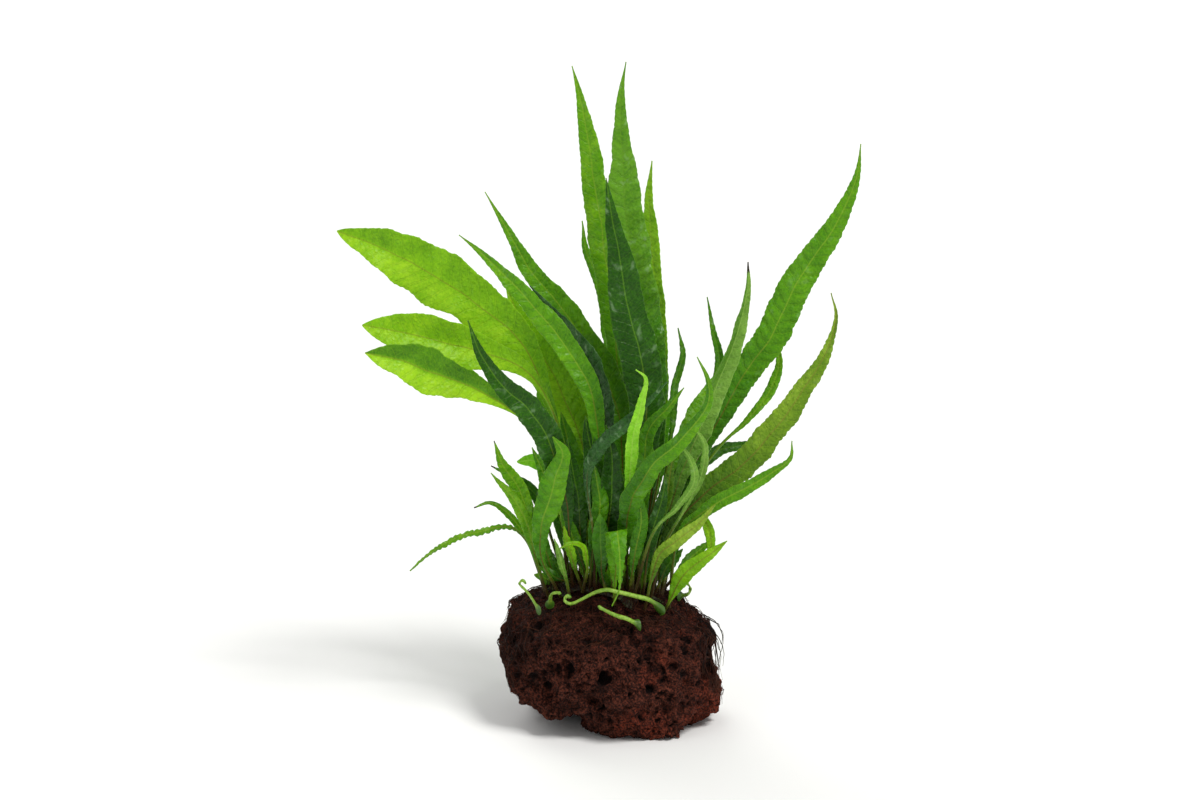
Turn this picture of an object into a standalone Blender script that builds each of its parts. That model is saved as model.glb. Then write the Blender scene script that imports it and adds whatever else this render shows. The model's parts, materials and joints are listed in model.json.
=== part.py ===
"""Java fern grown on a piece of lava stone.

The fern's rhizome creeps over the top of the stone and holds on with hair roots.
Each frond is a leaf of its own: a thin stalk from the rhizome and a long blade.
Small young fronds are still round stems with a curled tip.

Lengths are in millimetres, and the meshes are made in metres.
The origin is on the flat underside of the stone, and the front of the plant faces -Y.
"""
from collections import namedtuple
from math import cos, log, pi, radians, sin, sqrt, tan

import bmesh
import bpy
from mathutils import Vector, noise
from mathutils.bvhtree import BVHTree

MILLIMETRE = 0.001

# Places are given as they are seen from a little above the front: across, up and depth
VIEW_HEIGHT = radians(12)
EYE_DISTANCE = 1500
MIDDLE_ACROSS = -5.4
MIDDLE_UP = 145.3

# The stone: a rounded block with lumps and hollows, thinned to fewer faces and cut flat
STONE_HALF_WIDTH = 49
STONE_HALF_DEPTH = 42
STONE_HALF_HEIGHT = 35
STONE_MIDDLE_HEIGHT = 24.5
STONE_SQUARENESS = 2.7
STONE_CUTS = 38
STONE_FACES_KEPT = 0.145

# A lump of the stone: its place, its reach and how far the surface moves out or in.
# Lumps reach further from front to back than across.
LUMP_DEPTH_SHARE = 0.5
Lump = namedtuple("Lump", "x y z reach push")
STONE_LUMPS = (
    Lump(-28, 24, 58, 20, 4),
    Lump(-48, -4, 32, 8, 3),
    Lump(-49, -4, 45, 6, -3.5),
    Lump(-44, 4, 54, 8, 6),
    Lump(-47, 0, 8, 13, -7),
    Lump(-34, -26, -2, 11, -8),
    Lump(-22, -34, 0, 7, -14),
    Lump(-24, -4, -8, 8, -15),
    Lump(-32, -38, 20, 5, -6),
    Lump(-18, -40, 30, 11, 4),
    Lump(10, -42, 28, 16, 2),
    Lump(48, -8, 11, 8, 4),
    Lump(46, 0, 29, 8, -8),
    Lump(49, 0, 41, 7, 1),
    Lump(40, -4, 54, 12, -3),
    Lump(30, -36, 50, 15, -4),
    Lump(-6, -42, 2, 13, -4),
    Lump(18, -36, 0, 12, 3),
    Lump(40, -28, 0, 8, -8),
    Lump(-10, 42, 30, 16, 4),
    Lump(28, 38, 14, 14, -5),
    # A round hole in the front, and a recess and a crease at its two sides
    Lump(-3, -42, 31, 3.2, -6),
    Lump(-31, -38, 25, 5, -5),
    Lump(38, -32, 24, 5, -6),
    # A ridge along the front's upper edge, with hollows below it
    Lump(-26, -36, 44, 7, 4.5),
    Lump(-9, -38, 43, 7, 3.5),
    Lump(-23, -40, 35, 4.5, -5),
    Lump(20, -40, 37, 5, -4),
    # Lumps and hollows of the front's lower half
    Lump(5, -42, 22, 7, 4),
    Lump(-10, -42, 21, 4, -4),
    Lump(20, -42, 13, 6, -5),
    Lump(30, -36, 8, 7, 3),
    Lump(-29, -36, 7, 5, 4),
)

# Scale and height of the stone's roughness: its swells, and its crust, which is worn
# off towards the top, where the rhizome lies
SWELLS = (15, 2.6)
CRUST = ((7, 2.4), (4, 1.4))
WORN_HEIGHT = 60
WORN_BAND = 12

# Pores of the crust: how far apart they are, their reach as a share of that, their depth
PORE_SPACING = 12
PORE_REACH = 0.32
PORE_DEPTH = 2.6

# Rhizome: branches that creep over the stone, each as (x, y) points and a radius
RHIZOME_BRANCHES = (
    (((-31, 1), (-20, -2), (-8, 3), (4, -1), (14, 4), (25, 2)), 3.2),
    (((-25, -10), (-14, -9), (-6, -13), (5, -13), (16, -11), (24, -9)), 3.0),
    (((-20, 11), (-8, 14), (4, 16), (14, 13), (22, 11)), 3.0),
    (((-20, -2), (-14, -9)), 3.0),
    (((4, -1), (5, -13), (8, -20), (11, -24)), 3.0),
    (((-8, 3), (-8, 14)), 3.0),
    (((14, 4), (14, 13)), 3.0),
)
RHIZOME_VOXEL = 3.0
RHIZOME_LIFT = 0.8
RHIZOME_SINK = 0.35
NODE_SWELL = 0.18
NODE_TURN = 1.9

# Hair roots: felted pads on two shoulders of the stone, the right one hanging off it.
# A pad covers the stone between two opposite corners of a box.
LEFT_PAD = ((-60, -30, 26), (-30, 6, 50))
RIGHT_PAD = ((38, -22, 33), (60, 12, 60))
ROOT_OFFSET = 0.6
ROOT_TRIMS = 2
ROOT_THICKNESS = 0.6
ROOT_HANG = (2.4, -0.8, -3.5)
HANG_BAND = 5

# A frond's stalk and blade; a broad blade is modelled at more stations than a narrow one
BLADE_THICKNESS = 0.8
STALK_THICKNESS = 1.7
STALK_WIDTH = 2.4
TIP_WIDTH = 0.7
STALK_STATIONS = 3
BLADE_STATIONS = 5
WIDTH_PER_STATION = 5
MOST_EXTRA_STATIONS = 4
FOOT_CLEARANCE = 1.5
FOOT_GAP = 0.7
PATH_STEPS = 160
CURVE_PIECES = 16

# A young stem's swollen knob, how it sits, and how much the stem thins towards its tip
KNOB_SWELL = 1.4
KNOB_SHARE = 0.14
KNOB_SEAT = 0.6
YOUNG_TAPER = 0.4

# A height above the whole plant, from which surfaces are searched downwards
ABOVE_ALL = 400

# Colour and roughness of each finish
FINISHES = {
    "lava_stone": ((0.085, 0.022, 0.015), 0.95),
    "rhizome": ((0.075, 0.075, 0.018), 0.7),
    "hair_root": ((0.020, 0.011, 0.008), 0.9),
    "leaf_bright": ((0.20, 0.47, 0.015), 0.45),
    "leaf_mid": ((0.075, 0.30, 0.008), 0.4),
    "leaf_dark": ((0.018, 0.12, 0.008), 0.35),
    "young_stem": ((0.30, 0.50, 0.07), 0.5),
}

# A frond: foot (x, y) on the rhizome, midrib as (across, up, depth) from low to tip,
# widest width, share where the blade starts, share of the blade at its widest,
# fullness (low is full, high is pointed), fold of its halves in degrees,
# the way its upper side faces at the tip, its finish and the way it faces at the foot
FRONT = (0, -1, 0)
UP = (0, -0.45, 1)
Frond = namedtuple(
    "Frond", "name foot midrib width start widest fullness fold face finish face_low",
    defaults=(FRONT,))

BROAD_LEFT_FRONDS = (
    Frond("frond_left_broad_top", (-12, 4),
          ((-14.4, 91, 7), (-22.5, 127, 10), (-34.7, 160, 14), (-46, 177, 17), (-64.4, 191, 20),
           (-81.5, 202, 22), (-102, 213, 24), (-123.8, 221.4, 26)),
          27, 0.24, 0.66, 0.65, 6, (-0.15, -1, 0.3), "leaf_bright"),
    Frond("frond_left_broad_middle", (-17, 2),
          ((-18, 109, 2), (-27.9, 143, 2), (-41, 160, 2), (-64, 168, 1), (-81.5, 172.4, 0),
           (-97.7, 176, -1), (-112.5, 179, -2)),
          24, 0.30, 0.68, 0.7, 7, (-0.1, -1, 0.35), "leaf_bright"),
    Frond("frond_left_broad_low", (-21, -3),
          ((-21.6, 94, -8), (-30.2, 123, -14), (-41.4, 137.7, -18), (-60.8, 150, -22),
           (-81.5, 158.4, -26), (-95, 163.4, -28), (-111.2, 166.5, -30)),
          21, 0.30, 0.68, 0.7, 10, (0, -1, 0.2), "leaf_bright"),
    Frond("frond_left_dark", (-18, -9),
          ((-20.7, 100, -22), (-27, 123, -29), (-36.9, 140, -34), (-49, 151.7, -38),
           (-59, 165.6, -41), (-64.8, 181, -43)),
          15, 0.18, 0.5, 1.1, 14, (0.35, -1, 0), "leaf_dark"),
    Frond("frond_left_lime", (-9, 9),
          ((-9, 91, 17), (-13.5, 125, 24), (-20.7, 145.4, 29), (-30.2, 163.4, 33),
           (-40.5, 180.5, 37), (-47.7, 196, 40)),
          19, 0.16, 0.5, 0.9, 8, (0.2, -1, 0.1), "leaf_bright"),
)

TALL_FRONDS = (
    Frond("frond_upper_left", (0, 8),
          ((2.7, 91, 12), (4.5, 127, 15), (-0.9, 151, 17), (-10.8, 169, 18), (-24.3, 188.6, 19),
           (-37.4, 205, 20), (-48.2, 223.7, 21), (-57.2, 239, 22)),
          17, 0.16, 0.55, 1.2, 10, (0.2, -1, 0), "leaf_mid"),
    Frond("frond_upper_left_low", (-7, -3),
          ((-5.4, 114, -6), (-8.1, 145.4, -6), (-15.3, 161, -5), (-27.9, 178.7, -4),
           (-38.7, 191.7, -4), (-50, 203, -4), (-59.4, 212, -4), (-68.9, 219.6, -4)),
          12, 0.18, 0.55, 1.15, 12, (0.2, -1, 0), "leaf_mid"),
    Frond("frond_blue_green", (-4, 3),
          ((-2.2, 123, 4), (-5.4, 150, 6), (-13, 168, 8), (-24.3, 182.3, 9), (-36.9, 196.7, 10)),
          10, 0.25, 0.55, 1.0, 14, (-0.5, -1, 0), "leaf_dark"),
    Frond("frond_tall_left", (5, 13),
          ((4.5, 100, 19), (3.6, 145, 24), (0, 186, 28), (-4, 217, 31), (-7.7, 242, 33),
           (-10.8, 262.4, 35), (-14, 280.4, 36), (-18, 295.7, 37)),
          14, 0.18, 0.6, 1.1, 10, (-0.1, -1, 0), "leaf_mid"),
    Frond("frond_tall_centre", (10, 4),
          ((16.2, 91, 6), (19.4, 127, 7), (17.1, 159, 7), (12.6, 186, 7), (8.1, 213, 8),
           (5.4, 240, 9), (4, 264, 10), (4, 283, 11), (6.3, 297.5, 12)),
          20, 0.14, 0.5, 1.2, 9, (0.15, -1, 0), "leaf_dark"),
    Frond("frond_dark_centre", (6, -2),
          ((11.7, 96, -9), (15.3, 132, -12), (13.5, 159, -13), (8.6, 181.4, -13),
           (4.5, 204, -13), (0.5, 224, -12), (-2.7, 245.2, -11)),
          19, 0.16, 0.5, 1.0, 12, (0.1, -1, 0), "leaf_dark"),
    Frond("frond_behind_centre", (11, 14),
          ((20, 105, 22), (23.4, 136, 28), (21.6, 177, 33), (18, 213, 36), (16.7, 235, 38),
           (18, 253, 39)),
          9, 0.25, 0.6, 1.0, 8, (-0.4, -1, 0), "leaf_mid"),
    Frond("frond_edge_on", (-3, 14),
          ((0.9, 132, 30), (-0.9, 172.4, 38), (-5.4, 197, 42), (-11.7, 213, 44), (-13.5, 226, 46)),
          8, 0.30, 0.6, 1.0, 10, (0.6, -1, 0), "leaf_mid"),
)

RIGHT_FRONDS = (
    Frond("frond_right_long", (18, 4),
          ((30.6, 102.6, 5), (43.2, 127.4, 5), (57.6, 153.5, 5), (71.6, 174.6, 5), (85, 200.7, 6),
           (100.8, 224.6, 7), (109.8, 244.4, 8), (112, 260.6, 9)),
          16, 0.14, 0.55, 1.2, 10, (-0.2, -1, 0), "leaf_mid"),
    Frond("frond_right_folded", (16.5, -2.5),
          ((28.8, 104.8, -10), (39.6, 132, -14), (47.7, 154.4, -16), (56.2, 174.6, -18),
           (60.8, 195, -20), (61.2, 207.4, -21)),
          12, 0.18, 0.5, 1.0, 22, (0.6, -1, 0), "leaf_dark"),
    Frond("frond_right_thin", (19, 14),
          ((30.6, 104.8, 24), (42.3, 136.4, 28), (47.7, 161, 30), (45.5, 177, 31), (42.8, 191.7, 32)),
          5, 0.45, 0.5, 1.0, 8, (0.4, -1, 0), "leaf_dark"),
    Frond("frond_curly_sliver", (15, 9),
          ((22, 100, 15), (27, 132, 19), (28.4, 152, 21), (31.5, 165.6, 22), (29.7, 177.8, 23)),
          4.5, 0.45, 0.6, 1.0, 5, (0.6, -1, 0), "leaf_dark"),
    Frond("frond_right_small_curved", (23, 10),
          ((31.5, 98, 16), (46.4, 122, 18), (62.1, 137.7, 21), (72, 150.8, 23), (75.2, 162.5, 24),
           (72.5, 174.2, 25)),
          5, 0.55, 0.6, 1.0, 6, (-0.3, -1, 0), "leaf_mid"),
    Frond("frond_right_outer", (21, -6),
          ((23.4, 80, -10), (34.2, 96.8, -15), (49.5, 109.4, -19), (64.8, 122, -22),
           (76.5, 136.4, -25), (86, 150.8, -27), (95.4, 164.7, -29), (100.8, 181.4, -31),
           (98.6, 193.5, -32)),
          13, 0.10, 0.42, 1.15, 10, (-0.2, -1, 0.3), "leaf_mid"),
    Frond("frond_right_low", (26, -9),
          ((29.5, 82.4, -18), (41, 95, -26), (55.4, 103.5, -32), (68.9, 110.3, -36),
           (79.7, 118.4, -39), (81, 126.9, -40)),
          7, 0.25, 0.5, 1.0, 8, (0, -1, 0.5), "leaf_mid"),
    Frond("frond_right_behind", (24, 13),
          ((32.9, 104.9, 27), (45, 120.6, 36), (57.6, 125.1, 42), (68.9, 126.9, 46)),
          6, 0.4, 0.55, 1.0, 6, (0, -1, 0.4), "leaf_dark"),
    Frond("frond_right_bright_strip", (15, -19),
          ((20, 73.4, -25), (28.4, 81.5, -29), (38.3, 89.6, -33), (46.4, 98.1, -36)),
          6.5, 0.2, 0.5, 0.9, 6, (0, -1, 0.4), "leaf_bright"),
    Frond("frond_right_lime_behind", (22, 3.2),
          ((26, 80, 8), (30, 88, 9.5), (34, 95, 11)),
          8, 0.3, 0.55, 0.9, 6, (0, -1, 0.2), "leaf_bright"),
    Frond("frond_right_drooping", (27, 0),
          ((27.5, 75, -2), (34.2, 87.8, -5), (41.4, 91, -8), (44.6, 82, -10), (43.2, 72.5, -11)),
          5, 0.45, 0.6, 1.0, 6, (0, -1, 0.2), "leaf_bright"),
    Frond("frond_right_short", (24, -16),
          ((31.5, 65.7, -24), (41.4, 73.8, -30), (51.8, 81.9, -35)),
          8, 0.15, 0.45, 0.9, 6, (0, -1, 0.3), "leaf_bright"),
)

FRONT_FRONDS = (
    # This one arches to the front and hangs, so its upper side turns over
    Frond("frond_front_hanging", (1, -18),
          ((1.8, 73.4, -22), (2, 83, -27), (2.4, 86, -33), (3, 80, -36.5), (3.6, 70, -38),
           (3.2, 60, -39), (0, 52.6, -40)),
          8.5, 0.3, 0.3, 0.75, 5, (0, -1, 0.35), "leaf_mid", (0, 1, 0.35)),
    Frond("frond_front_left", (-24, -13),
          ((-31.5, 73.4, -20), (-32, 86, -24), (-28.8, 98.1, -27), (-25.2, 109.4, -30),
           (-22, 120.6, -33), (-26.6, 128.7, -36)),
          14.5, 0.16, 0.5, 0.8, 12, (-0.2, -1, 0.2), "leaf_mid"),
    Frond("frond_dark_crossing", (-8, -12),
          ((-8.1, 82.4, -18), (-11.2, 107.1, -23), (-8.1, 119.7, -25), (2.7, 131.4, -28),
           (14.9, 143.1, -30), (24.8, 153.5, -32)),
          6.5, 0.35, 0.5, 1.0, 16, (0, -1, 0.8), "leaf_dark"),
    Frond("frond_lime_front", (7, -8),
          ((6.3, 87, -17), (8.1, 114, -29), (10.4, 129.6, -36), (13, 143, -40), (15.3, 154.4, -43),
           (10.8, 158.9, -46)),
          7, 0.35, 0.5, 0.9, 14, (-0.2, -1, 0), "leaf_bright"),
    Frond("frond_rippled", (12, -9),
          ((12.2, 91.4, -17), (14, 116, -22), (17.1, 132, -26), (25.2, 142.2, -30),
           (32.4, 150.8, -33)),
          10, 0.22, 0.5, 0.95, 12, (-0.1, -1, 0.1), "leaf_mid"),
    Frond("frond_front_folded", (4, -12),
          ((5.5, 80, -18), (9.9, 101.7, -32), (19.4, 116.1, -42), (30.6, 127.4, -46),
           (42.3, 141.8, -49), (43.2, 153.5, -51), (38.3, 164.7, -53)),
          13, 0.2, 0.45, 1.0, 20, (0.2, -1, 0.3), "leaf_bright"),
    Frond("frond_pale_left", (10, -16),
          ((18, 84.6, -26), (29.7, 97.7, -31), (36.9, 108.5, -34), (35.1, 118.4, -36),
           (29.3, 126.5, -38)),
          4, 0.4, 0.6, 1.0, 6, (0.3, -1, 0), "leaf_bright"),
    Frond("frond_pale_right", (18, -13),
          ((22.5, 77.9, -17), (32.4, 95.9, -22), (40, 111.6, -25), (41.9, 124.2, -27),
           (36.5, 133.7, -29)),
          4, 0.4, 0.6, 1.0, 6, (0.3, -1, 0), "leaf_bright"),
)

LOW_LEFT_FRONDS = (
    Frond("frond_left_low", (-26, 3),
          ((-35.1, 87.8, 2), (-41.4, 104, 1), (-49, 115.7, 0), (-53.1, 126.9, 0)),
          8, 0.25, 0.5, 1.0, 8, (0.2, -1, 0), "leaf_mid"),
    Frond("frond_left_low_dark", (-22, 9),
          ((-27, 82.4, 11), (-34.7, 102.2, 12), (-45.9, 111.2, 13), (-54.5, 115.7, 14)),
          5, 0.35, 0.5, 1.0, 6, (0, -1, 0.3), "leaf_dark"),
    Frond("frond_left_low_front", (-29, -8),
          ((-34.2, 73.4, -12), (-38.7, 89.1, -16), (-45.5, 101.7, -19), (-54.5, 112.5, -22)),
          6, 0.25, 0.5, 1.0, 8, (0, -1, 0.1), "leaf_mid"),
    Frond("frond_left_arch", (-31, -2),
          ((-35.5, 78.8, -4), (-44.1, 91.4, -7), (-54, 98.6, -9), (-62.1, 96.8, -11)),
          4, 0.4, 0.5, 1.0, 6, UP, "leaf_mid"),
    Frond("frond_left_long_arch", (-31, 5),
          ((-33.5, 69.8, 8), (-38.7, 82.4, 12), (-47.2, 88.2, 17), (-61.7, 85.5, 23),
           (-74.7, 80.6, 28), (-84.6, 73.8, 32), (-90.9, 68.4, 34)),
          6, 0.3, 0.5, 1.0, 6, UP, "leaf_mid"),
    Frond("frond_left_pale", (-17, 10),
          ((-18, 91.4, 22), (-24, 111, 29), (-34.7, 117.5, 33), (-42.8, 117.5, 35)),
          10, 0.35, 0.6, 0.7, 5, (0, -1, 0.4), "leaf_bright"),
)

INNER_FRONDS = (
    Frond("frond_inner_left", (-12, -7),
          ((-13, 71, -9), (-18, 84, -11), (-23, 96, -12)),
          7, 0.2, 0.55, 0.9, 10, (0.2, -1, 0), "leaf_mid"),
    Frond("frond_inner_dark", (-2, -6),
          ((-2.7, 78, -12), (-0.5, 100, -16), (0, 118, -18), (-2.7, 134, -20)),
          12, 0.15, 0.5, 0.9, 10, (0.1, -1, 0), "leaf_dark"),
    Frond("frond_inner_rounded", (-3, -15),
          ((-5, 70, -18), (-5.4, 82, -20), (-5.4, 94, -22)),
          8, 0.15, 0.6, 0.7, 8, (-0.1, -1, 0), "leaf_mid"),
    Frond("frond_inner_right", (12, -3.5),
          ((12.2, 77.9, -10), (13, 93.6, -13), (12.6, 106, -15)),
          7, 0.15, 0.55, 0.8, 8, (0.1, -1, 0), "leaf_dark"),
    Frond("frond_inner_right_dark", (14, 1),
          ((21.6, 82, 1), (27, 100.4, 0), (33, 116, -2), (38, 130, -4)),
          10, 0.15, 0.55, 0.9, 10, (0.2, -1, 0), "leaf_dark"),
    Frond("frond_inner_small", (17, -8),
          ((19.4, 80, -14), (23.4, 100.4, -18), (26, 113.9, -20), (28.4, 123.8, -21)),
          5, 0.3, 0.55, 1.0, 8, (0.2, -1, 0), "leaf_mid"),
    Frond("frond_small_arch", (-13, -14),
          ((-11, 70, -18), (-13, 78.5, -21), (-18.5, 80.6, -24), (-23.4, 78.5, -26)),
          3.5, 0.35, 0.5, 1.0, 5, UP, "leaf_bright"),
    Frond("frond_small_grey", (-19, -15),
          ((-21.6, 68.9, -19), (-24.3, 77, -22), (-26, 82.8, -24)),
          3.2, 0.3, 0.5, 1.0, 5, (0, -1, 0.3), "leaf_mid"),
    # Fronds at the back, which the front ones hide
    Frond("frond_back_left", (-21, 15),
          ((-22, 92, 26), (-24, 122, 38), (-28, 146, 50), (-34, 166, 62)),
          15, 0.2, 0.55, 0.9, 8, (-0.1, -1, 0.3), "leaf_mid"),
    Frond("frond_back_middle", (2, 19),
          ((6, 100, 32), (10, 140, 46), (11, 175, 60), (9, 205, 72)),
          15, 0.2, 0.55, 1.0, 8, (0.1, -1, 0.3), "leaf_dark"),
    Frond("frond_back_right", (14, 19),
          ((24, 95, 32), (33, 122, 45), (41, 143, 57), (49, 160, 67)),
          14, 0.2, 0.55, 1.0, 8, (0.1, -1, 0.3), "leaf_mid"),
    Frond("frond_back_low", (-8, 16.5),
          ((-10, 74, 20), (-12, 83, 31), (-14, 93, 43), (-16, 100, 54)),
          10, 0.2, 0.55, 0.9, 8, (0, -1, 0.4), "leaf_bright"),
)

# Young fronds: foot (x, y) of the knob, stem radius and midrib up to the curled tip
YoungFrond = namedtuple("YoungFrond", "name foot radius midrib")
YOUNG_FRONDS = (
    YoungFrond("young_frond_left", (-33, -23), 1.1,
               ((-36.5, 56.7, -25), (-39.2, 60, -26), (-41.6, 62.4, -26),
                (-40.4, 64.2, -26.5), (-38.6, 62.8, -27))),
    YoungFrond("young_frond_short", (-28, -19), 1.0,
               ((-27.3, 57.6, -22), (-25, 58.6, -24), (-23, 58.2, -26))),
    YoungFrond("young_frond_long", (22, -20), 1.2,
               ((17.5, 55, -25), (10.8, 57, -27), (2.3, 59, -29),
                (-2.7, 59.9, -29), (-8.1, 58.5, -28), (-14, 55.4, -27), (-18.5, 53.6, -26),
                (-21.2, 55, -25.5), (-20.4, 57, -25), (-18.3, 56.6, -25))),
    YoungFrond("young_frond_front", (12, -34), 1.2,
               ((6.8, 46.8, -36), (2.7, 48, -35), (-1.4, 49.8, -34), (-6.3, 52.4, -33))),
    YoungFrond("young_frond_right", (31, 6), 1.1,
               ((34.2, 58, 4), (35.2, 60.5, 3), (34, 62.6, 3), (31.6, 63, 4))),
)


def place(x, y, z):
    """A point given in millimetres, in metres."""
    return Vector((x, y, z)) * MILLIMETRE


def seen(across, up, depth):
    """The point in millimetres that is seen at (across, up) and lies at this depth."""
    middle_height = MIDDLE_UP / cos(VIEW_HEIGHT)
    picture_height = up - MIDDLE_UP
    eye = Vector((MIDDLE_ACROSS, -EYE_DISTANCE * cos(VIEW_HEIGHT),
                  middle_height + EYE_DISTANCE * sin(VIEW_HEIGHT)))
    on_picture = Vector((across, picture_height * sin(VIEW_HEIGHT),
                         middle_height + picture_height * cos(VIEW_HEIGHT)))
    return eye.lerp(on_picture, (depth - eye.y) / (on_picture.y - eye.y))


def clear_scene():
    """Start from an empty scene."""
    for old in list(bpy.data.objects):
        bpy.data.objects.remove(old, do_unlink=True)


def make_collection(name):
    """A new collection in the scene."""
    collection = bpy.data.collections.new(name)
    bpy.context.scene.collection.children.link(collection)
    return collection


def make_finish(name):
    """A plain material of one of the finishes."""
    colour, roughness = FINISHES[name]
    material = bpy.data.materials.new(name)
    material.use_nodes = True
    shader = material.node_tree.nodes["Principled BSDF"]
    shader.inputs["Base Color"].default_value = (*colour, 1)
    shader.inputs["Roughness"].default_value = roughness
    shader.inputs["Metallic"].default_value = 0
    return material


def add_object(name, mesh, finish, collection):
    """An object of one mesh, with its finish, in a collection."""
    mesh.name = name
    mesh.materials.clear()
    mesh.materials.append(finish)
    piece = bpy.data.objects.new(name, mesh)
    collection.objects.link(piece)
    return piece


def mesh_from(shape, name):
    """A mesh made from an edited shape, which is then freed."""
    mesh = bpy.data.meshes.new(name)
    shape.to_mesh(mesh)
    shape.free()
    return mesh


def smooth_path(points, steps):
    """Evenly spaced points on a smooth curve through the given points."""
    padded = [2 * points[0] - points[1], *points, 2 * points[-1] - points[-2]]
    fine = []
    for a, b, c, d in zip(padded, padded[1:], padded[2:], padded[3:]):
        for piece in range(CURVE_PIECES):
            t = piece / CURVE_PIECES
            fine.append(0.5 * (2 * b + (c - a) * t + (2 * a - 5 * b + 4 * c - d) * t * t
                               + (3 * b - a - 3 * c + d) * t ** 3))
    fine.append(points[-1].copy())
    lengths = [0]
    for a, b in zip(fine, fine[1:]):
        lengths.append(lengths[-1] + (b - a).length)
    path = []
    index = 0
    for step in range(steps + 1):
        wanted = lengths[-1] * step / steps
        while index < len(fine) - 2 and lengths[index + 1] < wanted:
            index += 1
        share = (wanted - lengths[index]) / (lengths[index + 1] - lengths[index])
        path.append(fine[index].lerp(fine[index + 1], share))
    return path


def tree_of(*pieces):
    """A search tree over the evaluated meshes of the pieces."""
    shape = bmesh.new()
    graph = bpy.context.evaluated_depsgraph_get()
    for piece in pieces:
        shape.from_mesh(piece.evaluated_get(graph).to_mesh())
    bmesh.ops.triangulate(shape, faces=shape.faces)
    tree = BVHTree.FromBMesh(shape)
    shape.free()
    return tree


def surface_below(tree, x, y):
    """Height in millimetres of the topmost surface at (x, y)."""
    hit = tree.ray_cast(place(x, y, ABOVE_ALL), Vector((0, 0, -1)))[0]
    return hit.z / MILLIMETRE


def foot_height(ground, x, y, clearance):
    """Height in millimetres at which a stalk clears the surface all round its foot."""
    heights = []
    for across in (-clearance, 0, clearance):
        for depth in (-clearance, 0, clearance):
            heights.append(surface_below(ground, x + across, y + depth))
    return max(heights) + FOOT_GAP


def stone_point(direction):
    """A point on the stone, seen from its middle along a direction."""
    x, y, z = direction
    reach = (abs(x / STONE_HALF_WIDTH) ** STONE_SQUARENESS
             + abs(y / STONE_HALF_DEPTH) ** STONE_SQUARENESS
             + abs(z / STONE_HALF_HEIGHT) ** STONE_SQUARENESS) ** (-1 / STONE_SQUARENESS)
    point = direction * reach
    point.z += STONE_MIDDLE_HEIGHT
    push = 0
    for lump in STONE_LUMPS:
        away = point - Vector((lump.x, lump.y, lump.z))
        away.y *= LUMP_DEPTH_SHARE
        push += lump.push * 2 ** -((away.length / lump.reach) ** 2)
    scale, height = SWELLS
    push += height * noise.noise(point / scale)
    crust = 0
    for scale, height in CRUST:
        crust += height * noise.noise(point / scale)
    nearest = noise.voronoi(point / PORE_SPACING)[0][0]
    crust -= PORE_DEPTH * max(0, 1 - (nearest / PORE_REACH) ** 2)
    push += crust * min(1, max(0, (WORN_HEIGHT - point.z) / WORN_BAND))
    return point + direction * push


def thinned(shape, share):
    """The edited shape with a share of its triangles, fewest where it is smooth."""
    bmesh.ops.triangulate(shape, faces=shape.faces)
    holder = bpy.data.objects.new("thinned", mesh_from(shape, "thinned"))
    bpy.context.scene.collection.objects.link(holder)
    thin = holder.modifiers.new("thin", "DECIMATE")
    thin.ratio = share
    graph = bpy.context.evaluated_depsgraph_get()
    mesh = bpy.data.meshes.new_from_object(holder.evaluated_get(graph))
    bpy.data.objects.remove(holder)
    kept = bmesh.new()
    kept.from_mesh(mesh)
    return kept


def build_stone(finish, collection):
    """The lava stone, one solid with lumps and pores and a flat underside."""
    shape = bmesh.new()
    bmesh.ops.create_cube(shape, size=2)
    bmesh.ops.subdivide_edges(shape, edges=shape.edges, cuts=STONE_CUTS, use_grid_fill=True)
    for vertex in shape.verts:
        even = Vector([tan(value * pi / 4) for value in vertex.co])
        vertex.co = stone_point(even.normalized()) * MILLIMETRE
    shape = thinned(shape, STONE_FACES_KEPT)
    everything = shape.verts[:] + shape.edges[:] + shape.faces[:]
    bmesh.ops.bisect_plane(shape, geom=everything, plane_co=(0, 0, 0), plane_no=(0, 0, -1),
                           clear_outer=True)
    rim = [edge for edge in shape.edges if edge.is_boundary]
    bmesh.ops.contextual_create(shape, geom=rim)
    bmesh.ops.recalc_face_normals(shape, faces=shape.faces)
    return add_object("stone", mesh_from(shape, "stone"), finish, collection)


def tube_mesh(path, radii, resolution):
    """A closed tube along a path, made from a curve."""
    curve = bpy.data.curves.new("tube", "CURVE")
    curve.dimensions = "3D"
    curve.bevel_depth = MILLIMETRE
    curve.bevel_resolution = resolution
    curve.use_fill_caps = True
    spline = curve.splines.new("POLY")
    spline.points.add(len(path) - 1)
    for point, where, radius in zip(spline.points, path, radii):
        point.co = (*(where * MILLIMETRE), 1)
        point.radius = radius
    holder = bpy.data.objects.new("tube", curve)
    bpy.context.scene.collection.objects.link(holder)
    graph = bpy.context.evaluated_depsgraph_get()
    mesh = bpy.data.meshes.new_from_object(holder.evaluated_get(graph))
    bpy.data.objects.remove(holder)
    shape = bmesh.new()
    shape.from_mesh(mesh)
    bmesh.ops.remove_doubles(shape, verts=shape.verts, dist=0.00001)
    bmesh.ops.recalc_face_normals(shape, faces=shape.faces)
    return mesh_from(shape, "tube")


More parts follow.
